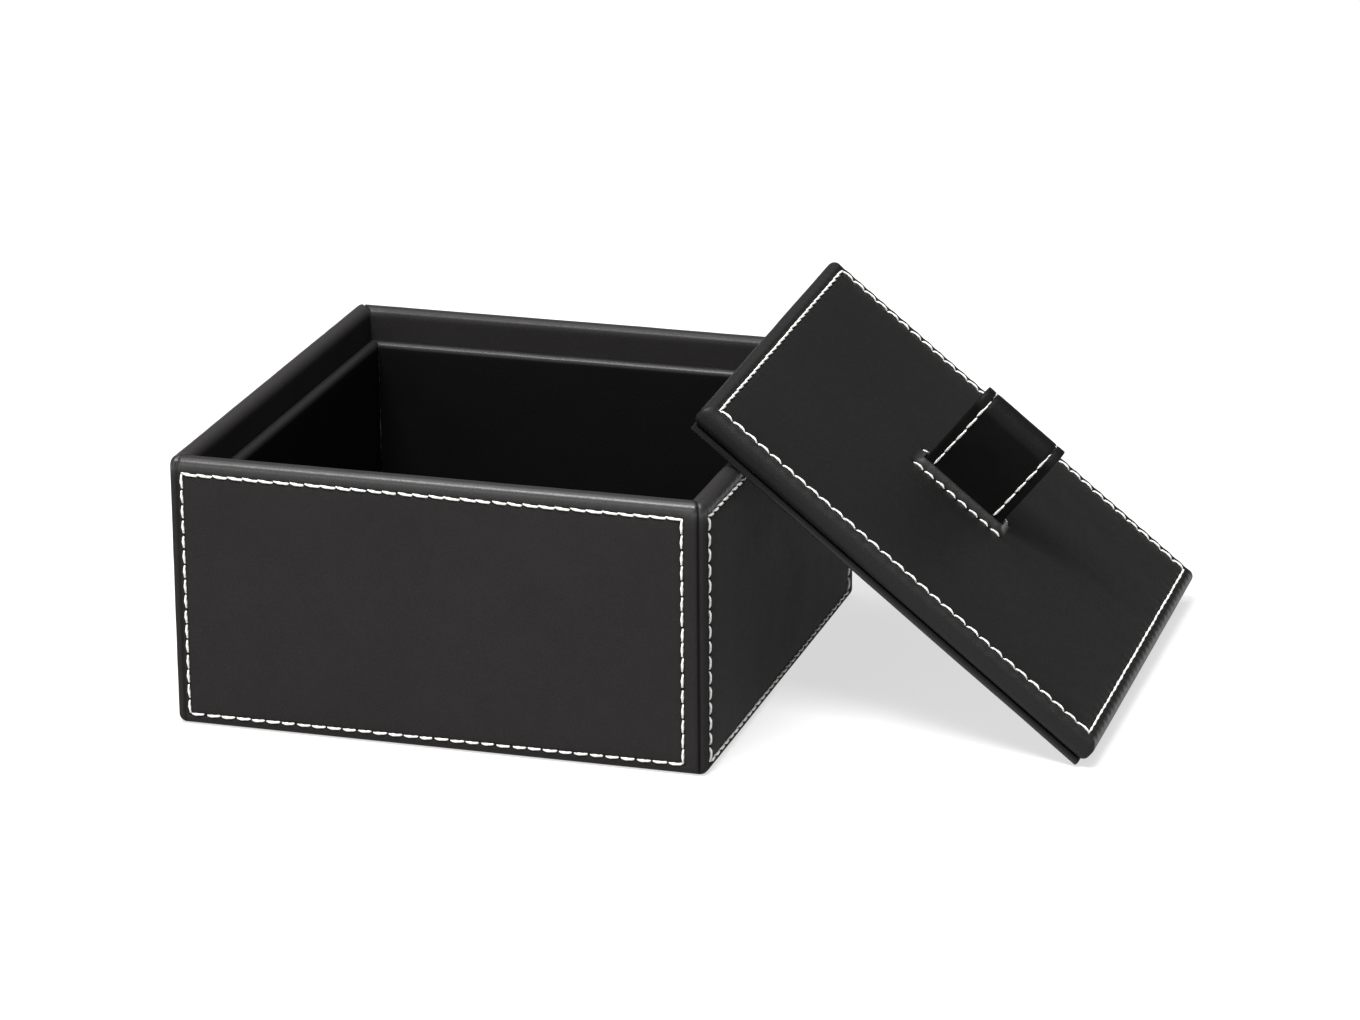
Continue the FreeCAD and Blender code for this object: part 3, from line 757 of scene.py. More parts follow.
wall = {
    "thick": 6.5,
    "sheet": 0.95,
    "rimRadius": 3.0,
    "footRadius": 2.5,
    "cornerRadius": 3.0,
    "innerRadius": 0.3,
    "underTurn": 12.0,
    "insideWrap": 36.0,
    "seamInset": 2.1,
    "stitchNear": 4.5,
    "stitchFar": 7.25,
    "stitchTop": 4.9,
    "stitchFoot": 3.5,
    "acrossCount": 32,
    "upCount": 16,
    "crown": 0.35,
    "crownReach": 3.2,
    "swell": 0.2,  # share of the simulated rise
    "margin": 0.16,
    "marginReach": 0.9,
    "seamDip": 0.75,
    "seamDipWidth": 0.55,
    "mitreDip": 0.35,
    "mitreReach": 2.5,
    "foldLine": -82.0,
    "foldDip": 0.6,
    "foldWidth": 0.5,
    "rimWearAndHighlightReach": 4.0,
    "cornerWear": 0.7,
    "cornerWearReach": (5.0, 4.5),  # along the wall, and down from the rim
    # painted shade: the colour is darkened in the corner seam and along the fold beside it
    "seamShade": 0.85,
    "foldShade": 0.6,
    "unevenness": 0.07,
    "lumps": ((19.0, 1.0), (7.0, 0.5), (2.4, 0.18)),  # size and share of each kind
    "spacing": 0.8,
    "fineSpacing": 0.36,
    "fineReach": 1.6,
    "cornerSteps": (1, 10, 4),  # rows on the wrapped part, round the corner and at the far end
}
mouthHalf = outerHalf - wall["thick"]
wallLeft = -outerHalf + wall["stitchNear"]
wallRight = outerHalf - wall["stitchFar"]
wallLow = wall["stitchFoot"]
wallHigh = rimTop - wall["stitchTop"]
wallRows = (
    ((wallLeft, wallHigh), (wallRight, wallHigh), wall["acrossCount"]),
    ((wallLeft, wallLow), (wallRight, wallLow), wall["acrossCount"]),
    ((wallLeft, wallLow), (wallLeft, wallHigh), wall["upCount"]),
    ((wallRight, wallLow), (wallRight, wallHigh), wall["upCount"]),
)
wallThreads = ((0.24, 1.08, 20), (-0.1, 0.93, 30), (-0.1, 0.95, 40), (0.1, 0.97, 50))  # slant, length, seed
wallSheet = swollenSheet("wallSheet", (wallRight - wallLeft) / 2, (wallHigh - wallLow) / 2)


def profilePath(pieces):
    rows = []
    for piece in pieces:
        rows.extend(piece if not rows else piece[1:])
    return np.array(rows)


def arcRows(depth, level, radius, begin, end, steps):
    made = []
    for angle in np.linspace(math.radians(begin), math.radians(end), steps + 1):
        o, w = math.cos(angle), math.sin(angle)
        made.append((depth - radius * o, level + radius * w, o, w))
    return made


def wallProfile():
    foot, rim = wall["footRadius"], wall["rimRadius"]
    face = spacedLines(foot, rimTop - rim, wall["spacing"], wall["fineSpacing"], (wallLow, wallHigh),
                       wall["fineReach"])
    inside = spacedLines(0.0, wall["insideWrap"] - rim, 1.0)
    inside = np.concatenate([inside[:12], np.linspace(inside[12], inside[-1], 6)])
    flat = wall["thick"] - rim
    return profilePath((
        [(d, 0.0, 0.0, -1.0) for d in np.linspace(wall["underTurn"], foot, 5)],
        arcRows(foot, foot, foot, -90.0, 0.0, 6),
        [(0.0, z, 1.0, 0.0) for z in face],
        arcRows(rim, rimTop - rim, rim, 0.0, 90.0, 9),
        [(rim, rimTop, 0.0, 1.0), (flat, rimTop, 0.0, 1.0)],
        arcRows(flat, rimTop - rim, rim, 90.0, 180.0, 9),
        [(wall["thick"], rimTop - rim - t, -1.0, 0.0) for t in inside],
    ))


def wallPlan(depth, face):
    wrapSteps, arcSteps, endSteps = wall["cornerSteps"]
    thick = wall["thick"]
    seamOut = outerHalf - wall["seamInset"]
    share = min(depth / thick, 1.0)
    seamAt = seamOut + (mouthHalf - seamOut) * share if depth <= thick else outerHalf - depth
    shrinking = (thick - depth) / (thick - (wall["cornerRadius"] - wall["innerRadius"]))
    radius = max(wall["cornerRadius"] - depth, wall["innerRadius"] * shrinking, 0.0)
    centre = outerHalf - depth - radius
    begin = 0.0
    if radius > 0 and seamAt > centre:
        begin = math.asin(min((seamAt - centre) / radius, 1.0))
    rows = []
    wrapEnd = min(seamAt, centre)
    for t in np.linspace(0, 1, wrapSteps + 1)[:-1]:
        y = wrapEnd + (centre - wrapEnd) * t if begin == 0.0 else centre + radius * math.sin(begin)
        x = outerHalf - depth if begin == 0.0 else centre + radius * math.cos(begin)
        rows.append((-x, -y, -math.cos(begin), -math.sin(begin)))
    for angle in np.linspace(begin, math.pi / 2, arcSteps + 1)[:-1]:
        c, s = math.cos(angle), math.sin(angle)
        rows.append((-centre - radius * c, -centre - radius * s, -c, -s))
    reach = min(centre, seamAt)
    share = (face - face[0]) / (face[-1] - face[0])
    for t in share[:-1]:
        rows.append((-centre + (centre + reach) * t, -(outerHalf - depth), 0.0, -1.0))
    for angle in np.linspace(0.0, begin, endSteps + 1):
        c, s = math.cos(angle), math.sin(angle)
        y = -centre - radius * c if radius > 0 and begin > 0 else -(outerHalf - depth)
        rows.append((reach + radius * s, y, s, -c))
    return np.array(rows)


def wallRelief(a, s, uneven):
    height, creaseShade = seamShape(a, s, wallRows)
    insideBy = np.minimum(np.minimum(a - wallLeft, wallRight - a), np.minimum(s - wallLow, wallHigh - s))
    crown = wall["crown"] * (1 - np.exp(-np.maximum(insideBy, 0) / wall["crownReach"]))
    crown = crown + wall["swell"] * riseAt(wallSheet, a - (wallLeft + wallRight) / 2, s - (wallLow + wallHigh) / 2)
    margin = wall["margin"] * (1 - np.exp(-np.maximum(-insideBy, 0) / wall["marginReach"]))
    onFace = ramp(s - 1.0, 2.0) * ramp(rimTop + 2.0 - s, 3.0)
    height = (height + crown + margin) * onFace
    fromEnds = (a - a[:, :1], a[:, -1:] - a)
    ends = sum(bell(away, wall["seamDipWidth"]) for away in fromEnds)
    fold = bell(a - wall["foldLine"], wall["foldWidth"])
    rising = ramp(s, 3.0)
    overRim = ramp(s - rimTop + 2.0, 4.0)
    height = height - (wall["seamDip"] * (1 - overRim) * ends + wall["foldDip"] * (1 - overRim) * fold) * rising
    height = height - wall["mitreDip"] * bell(s - rimTop - 1.5, wall["mitreReach"]) * ends
    height = height + wall["unevenness"] * uneven * rising
    # Painted shade: the seam at each end and the fold line are darkened in colour.
    seamFoldShade = wall["seamShade"] * ends + wall["foldShade"] * fold * (1 - overRim)
    creaseShade = np.clip(np.maximum(creaseShade * onFace, seamFoldShade), 0, 1)
    # Wear on the rim and the rubbed corners; the rim band also lifts the colour as a painted highlight.
    wearAndHighlight = np.exp(-((s - (rimTop + 0.5)) / wall["rimWearAndHighlightReach"]) ** 4) * np.ones_like(creaseShade)
    alongReach, downReach = wall["cornerWearReach"]
    wearAndHighlight = wearAndHighlight + wall["cornerWear"] * sum(bell(away, alongReach) for away in fromEnds) * bell(s - rimTop, downReach)
    return height, creaseShade, np.clip(wearAndHighlight, 0, 1)


def wallCover(name, quarter):
    profile = wallProfile()
    face = spacedLines(-outerHalf + wall["cornerRadius"], outerHalf - wall["cornerRadius"], wall["spacing"],
                       wall["fineSpacing"], (wallLeft, wallRight), wall["fineReach"])
    plan = np.stack([wallPlan(depth, face) for depth in profile[:, 0]])
    outward = profile[:, 2:3]
    levels, upward = (np.broadcast_to(profile[:, k:k + 1], plan.shape[:2]) for k in (1, 3))
    points = np.stack([plan[..., 0], plan[..., 1], levels], -1)
    normals = unit(np.stack([plan[..., 2] * outward, plan[..., 3] * outward, upward], -1))
    down = np.concatenate([[0.0], np.cumsum(np.hypot(np.diff(profile[:, 0]), np.diff(profile[:, 1])))])
    down += wall["footRadius"] - down[np.argmax((profile[:, 2] == 1.0))]
    middle = points[np.argmin(np.abs(profile[:, 1] - rimTop / 2))]
    across = np.concatenate([[0.0], np.cumsum(np.hypot(*np.diff(middle[:, :2], axis=0).T))])
    across += face[0] - across[sum(wall["cornerSteps"][:2])]
    turned, out = quarterTurned(points, quarter), quarterTurned(normals, quarter)
    height, creaseShade, wearAndHighlight = wallRelief(across[None, :], down[:, None], layered(turned, 11, wall["lumps"]))
    return shellFromGrid(name, turned + out * height[..., None], -out, wall["sheet"], someOf(len(profile), 5),
                         someOf(len(across), 7), finishes["wall"], {"creaseShade": creaseShade, "wearAndHighlight": wearAndHighlight})


wallNames = ("front", "right", "back", "left")
for quarter, side in enumerate(wallNames):
    cover = wallCover(f"wallCover{side.capitalize()}", quarter)
    fitPadded(cover, "box", f"wall_cover_{side}")
print("walls covered")


def wallStitching():
    run = StitchRun()
    for quarter in range(4):
        side = StitchRun()
        for (start, stop, count), (slant, length, seed) in zip(wallRows, wallThreads):
            side.row((start[0], -outerHalf, start[1]), (stop[0], -outerHalf, stop[1]), count,
                     (0.0, -1.0, 0.0), slant, length, seed + quarter)
        turn = functools.partial(quarterTurned, quarter=quarter)
        run.join(side, turn, turn)
    piece = sewn("wallStitching", run, 3)
    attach(piece, "box")
    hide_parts(*[f"wall_stitching_{side}" for side in wallNames])


wallStitching()
print("walls stitched")


# Liner: four covered boards inside, and the floor panel

liner = {
    "thick": 4.5,
    "radius": 2.2,
    "outsideWrap": 20.0,
    "sheet": 0.9,
    "seamWidth": 0.6,
    # painted shade: the colour is darkened at the mitred corner seams
    "seamShade": 0.8,
    "unevenness": 0.09,
    "lumps": ((16.0, 1.0), (6.0, 0.5)),
    "spacing": (0.0125, 0.004, 0.02),  # shares of half a side: usual, fine, and how far the fine reaches
    "topWearAndHighlight": 0.9,
}


def linerCover(name, quarter):
    radius, thick = liner["radius"], liner["thick"]
    inside = np.concatenate([np.arange(0, 20, 1.0), np.linspace(20, linerTop - radius - floorTop, 26)])
    profile = profilePath((
        [(0.0, z, 1.0, 0.0) for z in np.linspace(linerTop - liner["outsideWrap"], linerTop - radius, 5)],
        arcRows(radius, linerTop - radius, radius, 0.0, 90.0, 6),
        [(radius, linerTop, 0.0, 1.0), (thick - radius, linerTop, 0.0, 1.0)],
        arcRows(thick - radius, linerTop - radius, radius, 90.0, 180.0, 6),
        [(thick, linerTop - radius - t, -1.0, 0.0) for t in inside],
    ))
    usual, fine, reach = liner["spacing"]
    share = spacedLines(-1.0, 1.0, usual, fine, (-1.0, 1.0), reach)
    half = mouthHalf - profile[:, 0:1]
    flat = np.ones((len(profile), len(share)))
    points = np.stack([half * share, -half * flat, profile[:, 1:2] * flat], -1)
    normals = np.stack([0 * flat, -profile[:, 2:3] * flat, profile[:, 3:4] * flat], -1)
    ends = bell(np.minimum(half - points[..., 0], half + points[..., 0]), liner["seamWidth"])
    turned, out = quarterTurned(points, quarter), quarterTurned(normals, quarter)
    visible = np.clip(1.0 - profile[:, 2:3], 0, 1)
    height = liner["unevenness"] * (layered(turned, 21, liner["lumps"]) - 1.0) * visible
    # The liner's rounded top is lighter in colour: partly wear, partly a painted highlight.
    wearAndHighlight = liner["topWearAndHighlight"] * np.clip(profile[:, 3:4], 0, 1) * flat
    # painted shade at the corner seams through the crease mask
    return shellFromGrid(name, turned + out * height[..., None], -out, liner["sheet"], someOf(len(profile), 4),
                         someOf(len(share), 8), finishes["liner"], {"creaseShade": liner["seamShade"] * ends, "wearAndHighlight": wearAndHighlight})


for quarter, side in enumerate(wallNames):
    cover = linerCover(f"linerCover{side.capitalize()}", quarter)
    fitPadded(cover, "box", f"liner_cover_{side}")

floorPad = {
    "sheet": 0.85,
    "swell": 0.22,
    "edge": 0.7,
    "edgeReach": 0.7,
    "low": 0.07,
    # painted shade: the colour is darkened along the edges, where the floor meets the liner
    "edgeShade": 0.6,
    "edgeShadeReach": 1.2,
    "lumps": ((22.0, 0.1), (8.0, 0.05)),
    "spacing": (1.6, 0.4, 3.0),  # usual, fine, and how far the fine reaches
}


def floorLining():
    low, high = nodeBox("floor_lining")
    usual, fine, reach = floorPad["spacing"]
    lines = spacedLines(low[0] + 0.05, high[0] - 0.05, usual, fine, (low[0], high[0]), reach)
    x, y = np.meshgrid(lines, lines, indexing="ij")
    away = np.minimum(high[0] - np.abs(x), high[1] - np.abs(y))
    z = high[2] - floorPad["edge"] * bell(away, floorPad["edgeReach"])
    z = z + floorPad["swell"] * riseAt(swollenSheet("floorSheet", high[0], high[1]), x, y) - floorPad["low"]
    points = np.stack([x, y, z], -1)
    points[..., 2] += layered(points, 31, floorPad["lumps"])
    inward = np.zeros_like(points)
    inward[..., 2] = -np.maximum(points[..., 2] - low[2], 0.1) / floorPad["sheet"]
    chosen = someOf(len(lines), 6)
    # painted shade along the edges through the crease mask
    return shellFromGrid("floorLining", points, inward, floorPad["sheet"], chosen, chosen, finishes["liner"],
                         {"creaseShade": floorPad["edgeShade"] * bell(away, floorPad["edgeShadeReach"]), "wearAndHighlight": 0.0})


fitPadded(floorLining(), "box", "floor_lining")
print("liner and floor made")


# Lid: a padded panel wrapped round its board, on a thin covered panel

lid = {
    "half": 78.0,
    "low": 2.6,
    "top": 10.0,
    "radius": 3.0,
    "turnIn": 12.0,
    "sheet": 0.57,
    "stitch": 4.5,
    "stitchRise": 0.1,
    "edgeCount": 30,
    "crown": 0.4,
    "crownReach": 3.5,
    "swell": 0.25,
    "margin": 0.3,
    "marginReach": 0.9,
    "scallop": 0.07,
    "unevenness": 0.08,
    "lumps": ((24.0, 1.0), (8.0, 0.5), (2.5, 0.15)),
    "spacing": 0.85,
    "fineSpacing": 0.42,
    "fineReach": 1.7,
    "slotRow": 6.0,
    "slotRowHalf": 18.0,
    "slotCount": 8,
    "slotHalfLong": 16.0,
    "slotHalfWide": 2.25,
    "slotFlat": 0.55,  # how much of the crown the slot takes away
    "slotFlatReach": ((26.0, 7.0), (12.0, 5.0)),  # edge and fade, along and across the slot
    "slotLines": (-6.0, -4.0, -2.2, 0.0, 2.2, 4.0, 6.0),  # where the grid is fine
    "slotEnds": (-17.5, 17.5),
    "lipHeight": 2.0,
    "slotDepth": 2.6,
    "wrinkle": 0.12,
    "lipWearAndHighlight": 1.3,
    "edgeWearAndHighlight": 0.35,
}
lidLine = lid["half"] - lid["stitch"]
lidRows = tuple(
    (a, b, lid["edgeCount"])
    for a, b in (((-lidLine, -lidLine), (lidLine, -lidLine)), ((-lidLine, lidLine), (lidLine, lidLine)),
                 ((-lidLine, -lidLine), (-lidLine, lidLine)), ((lidLine, -lidLine), (lidLine, lidLine)))
)
slotRows = tuple(
    ((-lid["slotRowHalf"], v), (lid["slotRowHalf"], v), lid["slotCount"]) for v in (-lid["slotRow"], lid["slotRow"])
)
lidThreads = ((0.10, 1.02, 60), (0.06, 1.02, 61), (0.28, 1.16, 62), (-0.10, 1.03, 63),
              (0.1, 0.9, 70), (0.1, 0.9, 71))  # slant, length, seed
lidSheet = swollenSheet("lidSheet", lidLine, lidLine, lid["slotRowHalf"] + 2.0, lid["slotRow"] + 1.0)


def wrappedGrid(shape, uLines, vLines):
    half, low, high, radius, turnIn = shape
    flat = half - radius
    quarterLength = radius * math.pi / 2
    side = high - low - 2 * radius
    u, v = np.meshgrid(uLines, vLines, indexing="ij")
    p = np.maximum(np.abs(u) - flat, 0)
    q = np.maximum(np.abs(v) - flat, 0)
    e = np.maximum(p, q)
    bigger = np.maximum(e, 1e-9)
    turn = np.where(p >= q, q / bigger * math.pi / 4, math.pi / 2 - p / bigger * math.pi / 4)
    angle = np.clip(e / radius, 0, math.pi / 2)
    second = np.clip((e - quarterLength - side) / radius, 0, math.pi / 2)
    reach = radius * np.sin(angle) - radius * (1 - np.cos(second))
    level = high - radius * (1 - np.cos(angle)) - np.clip(e - quarterLength, 0, side) - radius * np.sin(second)
    inner = np.maximum(e - 2 * quarterLength - side, 0)
    corner = (p > 0) & (q > 0)
    square = np.where(corner, (np.cos(turn) ** 6 + np.sin(turn) ** 6) ** (-1 / 6), 1.0)
    dx = np.where(corner, np.cos(turn), np.where(p > 0, 1.0, 0.0)) * np.sign(u) * square
    dy = np.where(corner, np.sin(turn), np.where(q > 0, 1.0, 0.0)) * np.sign(v) * square
    shrink = (flat - np.minimum(inner, turnIn)) / flat
    x = (np.clip(u, -flat, flat) + dx * reach) * shrink
    y = (np.clip(v, -flat, flat) + dy * reach) * shrink
    out = np.where(e <= 0, 0.0, np.sin(angle) * np.cos(second))
    up = np.where(second > 0, -np.sin(second), np.cos(angle))
    normals = np.stack([dx * out, dy * out, np.where(e <= 0, 1.0, up)], -1)
    return np.stack([x, y, level], -1), unit(normals), e


def lidSlotShape(u, v):
    across = np.abs(v)
    foot = lid["slotRow"] - 0.4
    rise = eased(foot - across, foot - lid["slotHalfWide"] - 0.5)
    ends = eased(lid["slotRowHalf"] + 1.0 - np.abs(u), 4.0)
    lip = lid["lipHeight"] * rise * ends
    opening = ramp(lid["slotHalfWide"] + 0.15 - across, 0.35) * ramp(lid["slotHalfLong"] - np.abs(u), 0.5)
    drop = (lip + lid["slotDepth"]) * opening
    pull = bell(u + 15.0, 4.5) + 0.35 * bell(u - 15.0, 4.0)
    wrinkle = np.sin(2 * math.pi * (u * 0.78 + across * 0.55) / 1.9) * rise * ends * (1 - opening)
    return lip - drop + lid["wrinkle"] * pull * wrinkle, rise * ends * (1 - opening), opening


def lidCover():
    flat = lid["half"] - lid["radius"]
    edge = lid["radius"] * math.pi + (lid["top"] - lid["low"] - 2 * lid["radius"]) + lid["turnIn"]
    skirt = np.concatenate([np.arange(0.45, 10.9, 0.55), np.linspace(11.4, edge, 5)])

    def axisLines(*extra):
        middle = spacedLines(-flat, flat, lid["spacing"], lid["fineSpacing"], (-lidLine, lidLine, *extra),
                             lid["fineReach"])
        return np.concatenate([-(flat + skirt[::-1]), middle, flat + skirt])

    uLines, vLines = axisLines(*lid["slotEnds"]), axisLines(*lid["slotLines"])
    shape = [lid[key] for key in ("half", "low", "top", "radius", "turnIn")]
    points, normals, e = wrappedGrid(shape, uLines, vLines)
    u, v = np.meshgrid(uLines, vLines, indexing="ij")
    height, creaseShade = seamShape(u, v, lidRows)
    slotHeight, slotCreaseShade = seamShape(u, v, slotRows)
    insideBy = lidLine - np.maximum(np.abs(u), np.abs(v))
    crown = lid["crown"] * (1 - np.exp(-np.maximum(insideBy, 0) / lid["crownReach"]))
    margin = lid["margin"] * (1 - np.exp(-np.maximum(-insideBy, 0) / lid["marginReach"])) * np.clip(1 - e / 9.0, 0, 1)
    lip, band, opening = lidSlotShape(u, v)
    nearSlot = math.prod(ramp(edge - np.abs(w), fade) for w, (edge, fade) in zip((u, v), lid["slotFlatReach"]))
    crown = crown * (1 - lid["slotFlat"] * nearSlot) + lid["swell"] * riseAt(lidSheet, u, v)
    uneven = layered(points, 41, lid["lumps"])
    phase = (np.where(np.abs(u) > np.abs(v), v, u) + lidLine) / (2 * lidLine / lid["edgeCount"])
    scallop = lid["scallop"] * bell(e - 0.8, 1.2) * (e > 0) * -np.cos(2 * math.pi * phase)
    height = height + slotHeight + crown + margin + lip + scallop + lid["unevenness"] * uneven * (1 - opening)
    height = height * np.clip(1.25 - e / 10.0, 0.0, 1.0)
    # Painted shade: stitch holes, grooves and the slot's opening are darkened in colour.
    creaseShades = np.clip(np.maximum(np.maximum(creaseShade, slotCreaseShade), opening), 0, 1)
    # The slot's lip and the rolled edge are lighter in colour: partly wear, partly a painted highlight.
    wearAndHighlight = np.clip(lid["lipWearAndHighlight"] * band + lid["edgeWearAndHighlight"] * bell(e - 1.0, 1.8) * (e > 0), 0, 1)
    return shellFromGrid("lidCover", leaned(points + normals * height[..., None]), -leanedDirection(normals),
                         lid["sheet"], someOf(len(uLines), 7), someOf(len(vLines), 7), finishes["lid"],
                         {"creaseShade": creaseShades, "wearAndHighlight": wearAndHighlight})


fitPadded(lidCover(), "lid", "lid_cover")

lidPanel = {
    "half": 77.0,
    "low": 0.0,
    "high": 2.6,
    "radius": 0.9,
    "turnIn": 13.0,
    "sheet": 0.5,
    "spacing": (1.5, 0.5, 3.0),  # usual, fine, and how far the fine reaches
    "unevenness": 0.06,
    "lumps": ((26.0, 1.0), (9.0, 0.5)),
    "edgeDip": 0.12,
    "edgeWearAndHighlight": 0.55,
}


def lidBaseCover():
    half, low, high, radius, turnIn = shape = [lidPanel[key] for key in ("half", "low", "high", "radius", "turnIn")]
    flat = half - radius
    edge = radius * math.pi + high - low - 2 * radius + turnIn
    skirt = np.concatenate([np.arange(0.25, 3.8, 0.25), np.linspace(4.2, edge, 4)])
    usual, fine, reach = lidPanel["spacing"]
    lines = np.concatenate([-(flat + skirt[::-1]), spacedLines(-flat, flat, usual, fine, (-flat, flat), reach),
                            flat + skirt])
    points, normals, e = wrappedGrid(shape, lines, lines)
    height = lidPanel["unevenness"] * (layered(points, 51, lidPanel["lumps"]) - 1.5)
    height = height - lidPanel["edgeDip"] * bell(e + 2.5, 2.0)
    outer = points + normals * height[..., None]
    for block in (outer, normals):  # the panel is made face up, then turned over
        block[..., 2] = -block[..., 2]
    outer[..., 2] += high + low
    chosen = someOf(len(lines), 6)
    # The panel's rolled edge is lighter in colour: partly wear, partly a painted highlight.
    return shellFromGrid("lidBaseCover", leaned(outer), -leanedDirection(normals), lidPanel["sheet"], chosen, chosen,
                         finishes["lidUnder"],
                         {"creaseShade": 0.0, "wearAndHighlight": lidPanel["edgeWearAndHighlight"] * bell(e - 1.2, 0.8) * (e > 0)})


fitPadded(lidBaseCover(), "lid", "lid_base_cover")
print("lid covered")


def lidStitching():
    level = lid["top"] + lid["stitchRise"]
    flatRun = StitchRun()
    for (a, b, count), (slant, length, seed) in zip(lidRows + slotRows, lidThreads):
        flatRun.row((*a, level), (*b, level), count, (0.0, 0.0, 1.0), slant, length, seed)
    run = StitchRun().join(flatRun, leaned, leanedDirection)
    piece = sewn("lidStitching", run, 5, lift=0.3, thickness=0.78)
    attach(piece, "lid")
    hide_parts("lid_stitching", "slot_stitching")


lidStitching()
print("lid stitched")


# Strap: two layers folded into a loop, up through the slot

strap = {
    "halfWide": 15.5,
    "leather": 1.1,
    "lining": 0.85,
    "liningInset": 0.12,
    "footRadius": 2.0,
    "foldRadius": 5.0,
    "footLevel": flexHeight,
    "foldLevel": 38.0,
    "slotLevel": 7.2,
    "flexLevels": (10.9, 15.9),
    "stitchIn": 3.2,
    "stitchPitch": 5.3,
    "stitchGap": 0.2,
    "stitchGapUnder": 0.45,
    "stitchSlant": 0.1,
    "stray": 0.06,
    "edgeRound": 0.42,
    "groove": 0.16,
    "grooveWidth": 0.7,
    "hole": 0.34,
    "holeWidth": 0.6,
    # painted shade in the stitch grooves and holes
    "grooveShade": 0.25,
    "holeShade": 0.8,
    "waviness": 0.12,
    "lumps": ((13.0, 1.0), (5.0, 0.5)),
    "foldWearAndHighlight": 0.9,
    "foldWearAndHighlightReach": 4.2,
    "edgeWearAndHighlight": 0.6,
    "edgeWearAndHighlightReach": 0.45,
    "step": 0.6,
}


def strapPath():
    step, footLevel, foldLevel = strap["step"], strap["footLevel"], strap["foldLevel"]
    lean = math.asin((strap["foldRadius"] - strap["footRadius"]) / (foldLevel - footLevel))
    foot, fold = ((radius * math.cos(lean), level - radius * math.sin(lean))
                  for radius, level in ((strap["footRadius"], footLevel), (strap["foldRadius"], foldLevel)))
    rows = [(foot[0], z, 0.0) for z in np.arange(strap["slotLevel"], footLevel - 1.0, step)]
    length = math.hypot(fold[0] - foot[0], fold[1] - foot[1])
    for t in np.linspace(0, 1, int(length / step) + 1):
        blendIn = min(t * length / 2.5, 1.0)
        rows.append((foot[0] + (fold[0] - foot[0]) * t, foot[1] + (fold[1] - foot[1]) * t, lean * blendIn))
    for angle in np.linspace(-lean, math.pi / 2, 22)[1:]:
        rows.append((strap["foldRadius"] * math.cos(angle), foldLevel + strap["foldRadius"] * math.sin(angle), -angle))
    half = np.array([(y, z, math.cos(a), -math.sin(a)) for y, z, a in rows])
    path = np.concatenate([half, half[-2::-1] * np.array([-1.0, 1.0, -1.0, 1.0])])
    steps = np.hypot(*np.diff(path[:, :2], axis=0).T)
    return path, np.concatenate([[0.0], np.cumsum(steps)])


def strapHoles(path, along):
    middle = along[-1] / 2
    top = along[np.argmax(path[:, 1] > strap["footLevel"] - 1.4)]
    count = int(round((middle - top) / strap["stitchPitch"]))
    return top, (middle - top) / count, 2 * count


def strapSection(thickness, halfWide, inStitch):
    rounding = strap["edgeRound"]
    face = spacedLines(-halfWide + rounding, halfWide - rounding, 0.9, 0.4, (-inStitch, inStitch), 1.6)
    edge = [(halfWide - rounding + rounding * math.sin(t), min(rounding, thickness * 0.45) * (1 - math.cos(t)))
            for t in np.linspace(0, math.pi / 2, 4)[1:]]
    right = [(x, d, 0.0) for x, d in edge] + [(x, thickness - d, 0.0) for x, d in edge[::-1]]
    left = [(-x, d, side) for x, d, side in right[::-1]]
    inner = [(x, thickness, -1.0) for x in np.linspace(face[-1], face[0], 12)]
    return np.array([(x, 0.0, 1.0) for x in face] + right + inner + left)


def strapLayer(name, outerDepth, thickness, halfWide, material, seed):
    path, along = strapPath()
    start, pitch, count = strapHoles(path, along)
    inStitch = strap["halfWide"] - strap["stitchIn"]
    ring = strapSection(thickness, halfWide, inStitch)
    x, depth, side = (np.broadcast_to(ring[:, k], (len(path), len(ring))) for k in range(3))
    s = along[:, None] * np.ones_like(x)
    nearHole = start + np.clip(np.round((s - start) / pitch), 0, count) * pitch
    height = np.zeros_like(x)
    creaseShade = np.zeros_like(x)
    inRun = (s > start - 1.0) & (s < start + pitch * count + 1.0)
    for line in (-inStitch, inStitch):
        groove = bell(x - line, strap["grooveWidth"]) * inRun
        hole = bell(np.hypot(x - line, s - nearHole), strap["holeWidth"])
        height -= (strap["groove"] * groove + strap["hole"] * hole) * (side > 0)
        # painted shade in the grooves and holes
        creaseShade = np.maximum(creaseShade, (strap["grooveShade"] * groove + strap["holeShade"] * hole) * (side > 0))
    spot = np.stack([x, s, 0 * x], -1)
    free = ramp(path[:, 1:2] - strap["footLevel"] - 2.0, 10.0)
    wave = strap["waviness"] * free * layered(spot, seed, strap["lumps"])
    y, z = (path[:, k:k + 1] - path[:, k + 2:k + 3] * (outerDepth + depth - height) + wave * path[:, k + 2:k + 3]
            for k in (0, 1))
    # The fold and the edges are lighter in colour: partly wear, partly a painted highlight.
    foldWearAndHighlight = bell(s - along[-1] / 2, strap["foldWearAndHighlightReach"])
    edgeWearAndHighlight = bell(halfWide - np.abs(x), strap["edgeWearAndHighlightReach"])
    wearAndHighlight = np.clip(strap["foldWearAndHighlight"] * foldWearAndHighlight * (side > 0) + strap["edgeWearAndHighlight"] * edgeWearAndHighlight, 0, 1)
    at = np.arange(x.size).reshape(x.shape)
    following = np.roll(at, -1, axis=1)
    faces = np.stack([at[:-1], at[1:], following[1:], following[:-1]], -1).reshape(-1, 4).tolist()
    faces += [at[0].tolist(), at[-1][::-1].tolist()]
    vertices = leaned(np.stack([x, y, z], -1).reshape(-1, 3))
    return cleaned(linkMesh(name, vertices, turnOutward(vertices, faces), material,
                            {"creaseShade": np.clip(creaseShade, 0, 1).reshape(-1), "wearAndHighlight": wearAndHighlight.reshape(-1)}))


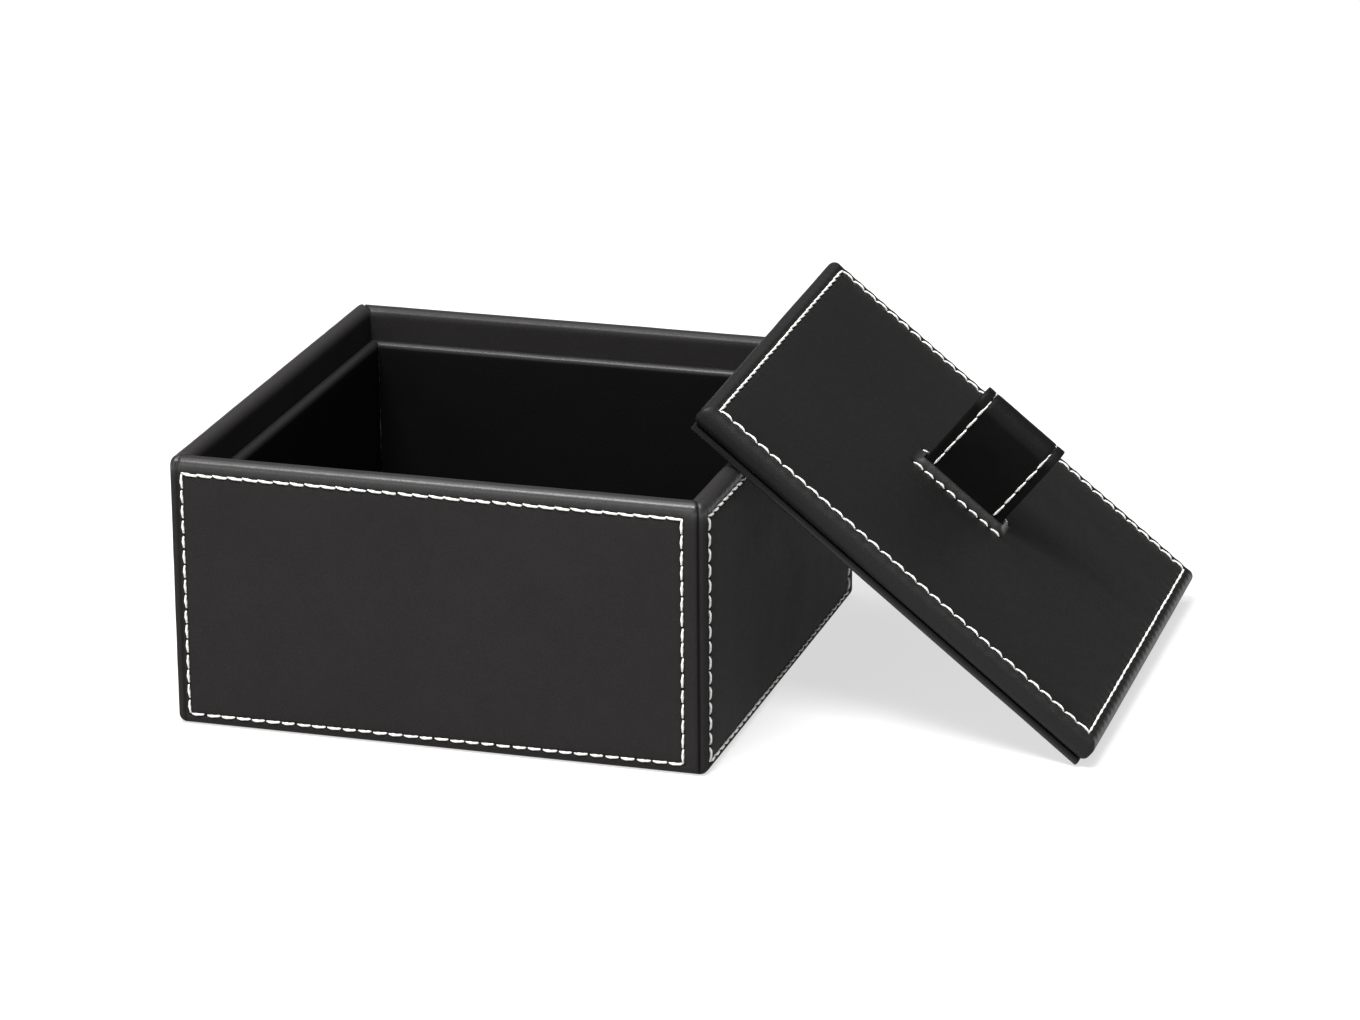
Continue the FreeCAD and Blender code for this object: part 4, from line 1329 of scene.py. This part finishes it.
leatherLoop = strapLayer("strapLeather", 0.0, strap["leather"], strap["halfWide"], finishes["strap"], 81)
liningLoop = strapLayer("strapLining", strap["leather"] + 0.01, strap["lining"],
                        strap["halfWide"] - strap["liningInset"], finishes["strapLining"], 83)
for piece, slotName in ((leatherLoop, "strap_leather"), (liningLoop, "strap_lining")):
    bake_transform(piece)
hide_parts("handle_strap", "handle_tails")
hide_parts("handle_lining")


def strapStitching():
    path, along = strapPath()
    start, pitch, count = strapHoles(path, along)
    under = -(strap["leather"] + strap["lining"])
    gap, gapUnder, slant = strap["stitchGap"], strap["stitchGapUnder"], strap["stitchSlant"]
    chance = np.random.default_rng(90)
    flatRun = StitchRun()

    def spot(s, x, depth):
        y, z, ny, nz = (np.interp(s, along, path[:, k]) for k in range(4))
        return np.array([x, y + ny * depth, z + nz * depth]), unit(np.array([0.0, ny, nz]))

    for line in (-1.0, 1.0):
        x = line * (strap["halfWide"] - strap["stitchIn"])
        for s in start + pitch * np.arange(count):
            wobble = chance.normal(0.0, strap["stray"], 3)
            a = spot(s + gap + wobble[0], x + slant + wobble[1], 0.0)[0]
            b = spot(s + pitch - gap, x - slant + wobble[2], 0.0)[0]
            out = spot(s + pitch / 2, x, 0.0)[1]
            flatRun.add(a + out * 0.02, b + out * 0.02, out, 1.0)
            flatRun.add(spot(s + gapUnder, x, under)[0], spot(s + pitch - gapUnder, x, under)[0], -out, 1.0)
    run = StitchRun().join(flatRun, leaned, leanedDirection)
    piece = sewn("strapStitching", run, 7, thickness=0.78, lift=0.2, sink=0.5, twist=0.8)
    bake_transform(piece)
    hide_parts("handle_stitching")


strapStitching()
print("strap made")


# The hidden boards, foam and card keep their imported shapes

hiddenFinishes = {
    "wall_padding": "foam",
    "wall_board": "greyboard",
    "liner_board": "greyboard",
    "lid_padding": "foam",
    "lid_board": "greyboard",
    "lid_filler_card": "card",
    "lid_base_board": "greyboard",
    "base_underside": "baseSheet",
    "base_board": "greyboard",
    "floor_board": "greyboard",
}
for name, node in frame["nodes"].items():
    for start, finishName in hiddenFinishes.items():
        if name.startswith(start):
            node.data.materials.clear()
            node.data.materials.append(finishes[finishName])
